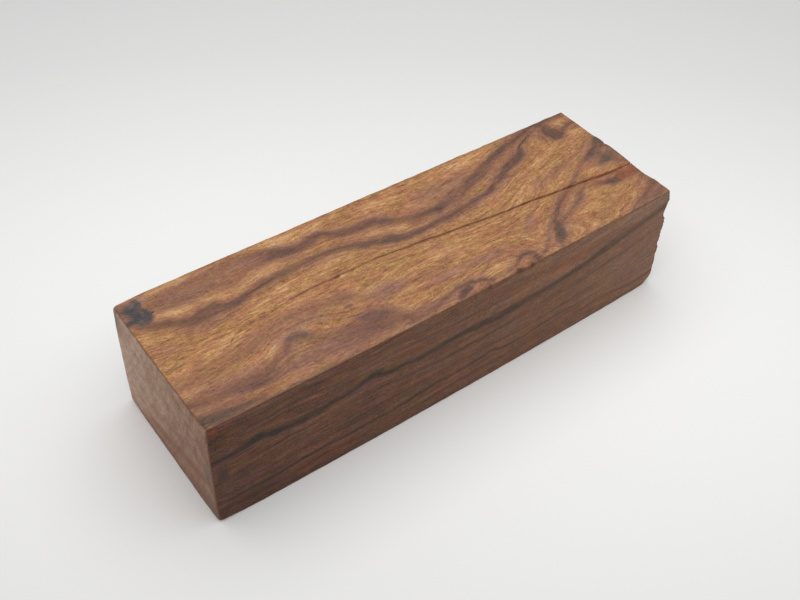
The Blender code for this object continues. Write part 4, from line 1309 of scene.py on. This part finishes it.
def figure_group(threads, pores):
    """The ironwood figure: colour, roughness and height from the drawn tints and the fine grain.

    Place is in millimetres, Layer the growth layer, and each tint a share from 0 to 1. Side is 0 on
    the figured faces and 1 on the long sides, which show the layers on edge and are darker.
    """
    group, tree, given, result = new_group(
        "ironwood_figure",
        [("Place", "Vector", None), ("Layer", "Float", 0.0), ("Side", "Float", 0.0),
         *[(tint.capitalize(), "Float", 0.0) for tint in TINTS]],
        [("Colour", "Color"), ("Roughness", "Float"), ("Height", "Float")],
    )
    place, side = given["Place"], given["Side"]
    parts = tree.parts(place)

    # The grain's own place: along it, across its swaying layers, and into the wood
    sways = tree.centred({
        "slow": tree.noise(tree.stretch(place, (0.10, 0.35, 0.35)), detail=3.0),
        "fine": tree.noise(tree.stretch(place, (0.5, 1.1, 1.1))),
    })
    slow_sway = tree.less(TOP_SWAY, tree.times(side, SIDE_SWAY_LESS))
    layer = tree.summed(given["Layer"], sways, {"slow": slow_sway, "fine": FINE_SWAY})
    grain = tree.vector(parts["X"], layer, tree.add(parts["Y"], parts["Z"]))

    # Fibres and spots, as greys from 0 to 1
    greys = {}
    for name, (length, width, contrast, shift) in FIBRES.items():
        inputs = {"Grain": grain, "Length": length, "Width": width, "Contrast": contrast, "Shift": shift}
        greys[name] = tree.group(threads, inputs)["Threads"]
    greys["mottle"] = tree.noise(tree.stretch(place, (0.4, 0.55, 0.55)), detail=4.0, roughness=0.6)
    slanted = {"Vector": place, "Rotation": (0.0, 0.0, FLECK_TURN), "Scale": (0.6, 2.0, 1.4)}
    turned = tree.node("ShaderNodeMapping", slanted).outputs["Vector"]
    greys["flecks"] = tree.noise(turned, detail=3.0, roughness=0.55)
    greys["specks"] = tree.noise(tree.stretch(place, (2.2, 3.6, 3.6)), roughness=0.6)
    centred = tree.centred(greys)
    tears = tree.summed(0.0, centred, TEARS)

    def torn(tint):
        """A drawn tint with its soft sides torn along the fibres."""
        share = given[tint.capitalize()]
        soft = tree.times(share, tree.less(1.0, share))
        return tree.math("ADD", share, tree.times(tree.times(soft, tears), RAGGED[tint]), clamp=True)

    # The plain wood of the top and of the long sides, each going over from a cool to a warm palette
    slow = tree.stretch(grain, (0.16, 0.5, 0.3), (5.0, 9.0, 2.0))
    warmth = tree.noise(slow, detail=3.0, roughness=0.55)
    tone = tree.summed(tree.add(TOP_TONE, tree.times(given["Gold"], TOP_GOLD)), centred, TOP_GRAIN)
    warm = tree.spread(warmth, *TOP_WARMING)
    top_colour = tree.blend(warm, tree.ramp(tone, GOLDEN), tree.ramp(tone, RUSSET))
    paler_along = tree.times(tree.times(parts["X"], side), SIDE_PALER_ALONG)
    paler_up = tree.times(tree.less(parts["Z"], HALF_WAY_UP), SIDE_PALER_UP)
    side_base = tree.add(SIDE_TONE, tree.add(paler_along, paler_up))
    side_base = tree.add(side_base, tree.times(given["Gold"], SIDE_GOLD))
    side_tone = tree.summed(side_base, centred, SIDE_GRAIN)
    side_warm = tree.spread(warmth, *SIDE_WARMING)
    side_colour = tree.blend(side_warm, tree.ramp(side_tone, SIDE), tree.ramp(side_tone, SIDE_WARM))
    colour = tree.blend(side, top_colour, side_colour)

    # The drawn tints, one over another
    strongest = tree.less(STRENGTH["mauve"], tree.times(side, SIDE_MAUVE_LESS))
    colour = tree.blend(tree.times(torn("mauve"), strongest), colour, tree.ramp(tone, MAUVE))
    shade = tree.add(tone, tree.times(side, tree.less(side_tone, tone)))
    dark = torn("dark")
    dark_tone = tree.less(dark, tree.times(tree.less(shade, TOP_TONE), STREAK_GRAIN))
    streak = tree.blend(side, tree.ramp(dark_tone, STREAK), tree.ramp(dark_tone, SIDE_STREAK))
    colour = tree.blend(tree.spread(dark, 0.0, 0.95, smooth=False), colour, streak)
    green = tree.spread(torn("green"), 0.0, 0.9, smooth=False)
    colour = tree.blend(tree.times(green, STRENGTH["green"]), colour, tree.ramp(shade, GREEN))
    colour = tree.blend(tree.times(torn("rust"), STRENGTH["rust"]), colour, tree.ramp(tone, RUST))
    bark = tree.spread(torn("bark"), 0.15, 0.85)
    colour = tree.blend(bark, colour, tree.ramp(greys["mottle"], BARK))

    # Slow changes of hue, then hairlines and pores
    slower = tree.stretch(grain, (0.13, 0.5, 0.3), (31.0, 4.0, 8.0))
    hue = tree.noise(slower, detail=4.0, roughness=0.65)
    colour = tree.blend(tree.spread(hue, *VIOLET_SHARE), colour, VIOLET)
    colour = tree.blend(tree.spread(hue, *OLIVE_SHARE), colour, OLIVE)
    greys["hair"] = tree.spread(given["Hair"], 0.1, 0.6)
    colour = tree.blend(tree.times(greys["hair"], STRENGTH["hair"]), colour, HAIRLINE)
    greys["pores"] = tree.group(pores, {"Grain": grain})["Pores"]
    colour = tree.blend(tree.times(greys["pores"], STRENGTH["pores"]), colour, PORE)

    rough = tree.summed(PLAIN_ROUGHNESS, centred, LONG_ROUGHNESS)
    tree.give(result["Colour"], colour)
    tree.give(result["Roughness"], tree.less(rough, tree.times(dark, DARK_SMOOTHER)))
    tree.give(result["Height"], tree.summed(0.0, greys, LONG_HEIGHT))
    return group


def place_in_mm(tree):
    """The object's own coordinates in millimetres."""
    coordinates = tree.node("ShaderNodeTexCoord").outputs["Object"]
    return tree.stretch(coordinates, (1 / MM, 1 / MM, 1 / MM))


def attribute(tree, name):
    """A value that the mesh carries on its face corners."""
    return tree.node("ShaderNodeAttribute", attribute_name=name, attribute_type="GEOMETRY").outputs["Fac"]


def new_material(name, colour):
    """A material with its Principled shader, and the plain colour that viewports show."""
    material = bpy.data.materials.new(name)
    material.use_nodes = True
    material.diffuse_color = colour
    tree = Tree(material.node_tree)
    shader = material.node_tree.nodes["Principled BSDF"]
    return material, tree, shader


def finish_shader(tree, shader, colour, rough, height, relief, gleam):
    """Gives the shader its colour, roughness and gleam, and a bump of relief metres at height 1."""
    bump = tree.node("ShaderNodeBump", {"Height": height, "Strength": 1.0, "Distance": relief})
    tree.give(shader.inputs["Base Color"], colour)
    tree.give(shader.inputs["Roughness"], rough)
    tree.give(shader.inputs["Normal"], bump.outputs["Normal"])
    shader.inputs["IOR"].default_value = WOOD_IOR
    shader.inputs["Specular IOR Level"].default_value = gleam


def long_grain_material(name, side, figure, saw_marks, edge_wear):
    """Planed long grain: the figure, faint saw marks in the bump, and edges rubbed by handling."""
    material, tree, shader = new_material(name, SIDE_PLAIN if side else TOP_PLAIN)
    place = place_in_mm(tree)
    tints = {tint.capitalize(): attribute(tree, tint) for tint in TINTS}
    wood = tree.group(figure, {"Place": place, "Layer": attribute(tree, "layer"), "Side": side, **tints})
    wear = tree.group(edge_wear, {"Edge": attribute(tree, "edge"), "Place": place, "Reach": LONG_WEAR})
    marks = tree.group(saw_marks, {
        "Place": place, "Pitch": PLANED_PITCH, "Direction": PLANED_DIRECTION, "Break up": PLANED_BREAK_UP,
    })
    colour = tree.blend(tree.times(wear["Worn"], STRENGTH["wear"]), wood["Colour"], WORN_WOOD)
    height = tree.add(wood["Height"], tree.times(marks["Height"], PLANED_MARKS))
    gleam = SIDE_GLEAM if side else TOP_GLEAM
    finish_shader(tree, shader, colour, wood["Roughness"], height, LONG_RELIEF, gleam)
    return material


def end_grain_material(name, tone, saw_marks, edge_wear, pitch, relief):
    """Dull end grain: fine specks, faint rings, and marks of the saw at a pitch."""
    material, tree, shader = new_material(name, END_PLAIN)
    place = place_in_mm(tree)
    marks = tree.group(saw_marks, {"Place": place, "Pitch": pitch, "Direction": (0.0, SAW_SLANT, 1.0)})
    across_rings = tree.vector(tree.times(attribute(tree, "layer"), 0.55), 0.0, 0.0)
    greys = {
        "rings": tree.noise(across_rings, detail=3.0, roughness=0.6),
        "mottle": tree.noise(place, 0.3, 4.0, 0.6),
        "specks": tree.noise(place, 2.4, 3.0, 0.65),
        "grit": tree.noise(place, 7.0),
        "saw marks": marks["Height"],
    }
    centred = tree.centred(greys)
    parts = tree.parts(place)
    tone = tree.add(tone, tree.times(parts["Y"], END_PALER_ACROSS))
    tone = tree.add(tone, tree.times(tree.less(parts["Z"], HALF_WAY_UP), END_PALER_UP))
    colour = tree.ramp(tree.summed(tone, centred, END_GRAIN), END)
    for tint, stain in (("rust", END_RED), ("green", END_GREY)):
        share = tree.times(attribute(tree, tint), tree.spread(greys["mottle"], 0.3, 0.6, 0.5, 1.0))
        colour = tree.blend(share, colour, stain)
    wear = tree.group(edge_wear, {"Edge": attribute(tree, "edge"), "Place": place, "Reach": END_WEAR})
    colour = tree.blend(tree.times(wear["Worn"], END_WEAR_STRENGTH), colour, END_RIM)
    rough = tree.summed(PLAIN_END_ROUGHNESS, centred, END_ROUGHNESS)
    height = tree.summed(0.0, greys, END_HEIGHT)
    finish_shader(tree, shader, colour, rough, height, relief, END_GLEAM)
    return material


# Floor, light and camera

FLOOR_SIZE = 6.0
# The floor's colour is a painted pool of light: palest near the block, darker in an oval towards the far
# corners
FLOOR_PAINTED_LIGHT_TONES = stops(
    (0, 248, 248, 247), (0.12, 244, 244, 243), (0.27, 233, 233, 232), (0.4, 224, 224, 223),
    (0.55, 219, 219, 218), (1, 215, 215, 214),
)
FLOOR_PLAIN = srgb(238, 238, 236)
FLOOR_PAINTED_LIGHT_CENTRE = (0.006, 0.009, 0.0)
FLOOR_PAINTED_LIGHT_FADE = (0.6, 0.3, 1.0)
FLOOR_DROP = 0.02 * MM
FLOOR_ROUGHNESS = 0.8
FLOOR_GLEAM = 0.2

LAMP_PLACE = (0.008, -0.01, 0.36)
LAMP_AIM = (0.0, -0.01, 0.0)
LAMP_SIDE = 0.55
LAMP_POWER = 1.24
LAMP_COLOUR = (1.0, 0.995, 0.985)
ROOM_COLOUR = (0.98, 0.99, 1.0, 1.0)
ROOM_STRENGTH = 0.5


def build_floor():
    """A plain pale floor with a painted pool of light: its colour falls off in an oval round its
    brightest place.
    """
    half = FLOOR_SIZE / 2
    square = ((-half, -half), (half, -half), (half, half), (-half, half))
    corners = [(x, y, -FLOOR_DROP) for x, y in square]
    mesh = bpy.data.meshes.new("floor")
    mesh.from_pydata(corners, [], [(0, 1, 2, 3)])
    floor = bpy.data.objects.new("floor", mesh)
    bpy.context.scene.collection.objects.link(floor)
    material, tree, shader = new_material("pale_floor_painted_light", FLOOR_PLAIN)
    coordinates = tree.node("ShaderNodeTexCoord").outputs["Object"]
    oval = tree.node("ShaderNodeMapping", {
        "Vector": coordinates, "Location": FLOOR_PAINTED_LIGHT_CENTRE, "Rotation": (0.0, 0.0, -BLOCK_TURN),
        "Scale": FLOOR_PAINTED_LIGHT_FADE,
    }, vector_type="TEXTURE")
    away = tree.node("ShaderNodeVectorMath", {0: oval.outputs["Vector"]}, operation="LENGTH")
    tree.give(shader.inputs["Base Color"], tree.ramp(away.outputs["Value"], FLOOR_PAINTED_LIGHT_TONES))
    shader.inputs["Roughness"].default_value = FLOOR_ROUGHNESS
    shader.inputs["Specular IOR Level"].default_value = FLOOR_GLEAM
    mesh.materials.append(material)


def light_the_stage():
    """One square soft lamp overhead, a little towards the rough end, in a pale room."""
    data = bpy.data.lights.new("overhead_softbox", "AREA")
    data.shape = "RECTANGLE"
    data.size = data.size_y = LAMP_SIDE
    data.energy = LAMP_POWER
    data.color = LAMP_COLOUR
    lamp = bpy.data.objects.new("overhead_softbox", data)
    lamp.location = LAMP_PLACE
    towards = Vector(LAMP_AIM) - Vector(LAMP_PLACE)
    lamp.rotation_euler = towards.to_track_quat("-Z", "Y").to_euler()
    bpy.context.scene.collection.objects.link(lamp)
    world = bpy.data.worlds.new("pale_room")
    world.use_nodes = True
    background = world.node_tree.nodes["Background"]
    background.inputs["Color"].default_value = ROOM_COLOUR
    background.inputs["Strength"].default_value = ROOM_STRENGTH
    bpy.context.scene.world = world


def place_camera():
    """The camera of the photograph: it stands back from its floor point along its own axis.

    It is turned by the pitch, rolled about its axis, and turned with the block about Z.
    """
    turn = Matrix.Rotation(-BLOCK_TURN, 4, "Z")
    stance = Matrix.Rotation(math.pi / 2 - CAMERA_PITCH, 4, "X")
    roll = Matrix.Rotation(CAMERA_ROLL, 4, "Z")
    back = stance @ Vector((0.0, 0.0, CAMERA_DISTANCE))
    place = turn @ (Vector((*LOOKS_AT, 0.0)) + back) - Vector(FOOT_MIDDLE)
    data = bpy.data.cameras.new("photo_camera")
    data.sensor_width = SENSOR_WIDTH
    data.sensor_fit = "HORIZONTAL"
    data.lens = SENSOR_WIDTH * FOCAL_PIXELS / IMAGE_WIDTH
    data.clip_start, data.clip_end = CLIP
    camera = bpy.data.objects.new("photo_camera", data)
    camera.matrix_world = Matrix.Translation(place * MM) @ turn @ stance @ roll
    bpy.context.scene.collection.objects.link(camera)
    bpy.context.scene.camera = camera


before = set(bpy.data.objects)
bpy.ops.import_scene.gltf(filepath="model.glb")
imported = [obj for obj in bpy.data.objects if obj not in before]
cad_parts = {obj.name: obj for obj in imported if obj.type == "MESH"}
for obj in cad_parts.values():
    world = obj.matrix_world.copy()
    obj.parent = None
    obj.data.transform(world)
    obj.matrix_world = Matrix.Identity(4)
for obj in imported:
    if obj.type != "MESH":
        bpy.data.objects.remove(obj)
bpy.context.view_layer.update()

threads = threads_group()
pores = pores_group()
saw_marks = saw_marks_group()
edge_wear = edge_wear_group()
figure = figure_group(threads, pores)
block = build_block()
for material in (
    long_grain_material("ironwood_figured_top", 0.0, figure, saw_marks, edge_wear),
    long_grain_material("ironwood_long_side", 1.0, figure, saw_marks, edge_wear),
    end_grain_material(
        "ironwood_smooth_end", SMOOTH_END_TONE, saw_marks, edge_wear, SMOOTH_END_PITCH, SMOOTH_END_RELIEF,
    ),
    end_grain_material(
        "ironwood_rough_end", ROUGH_END_TONE, saw_marks, edge_wear, SAW_PITCH, ROUGH_END_RELIEF,
    ),
):
    block.data.materials.append(material)
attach(block, "root")
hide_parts("ironwood_block")

build_floor()
light_the_stage()
place_camera()
bpy.context.scene.view_settings.view_transform = "Standard"
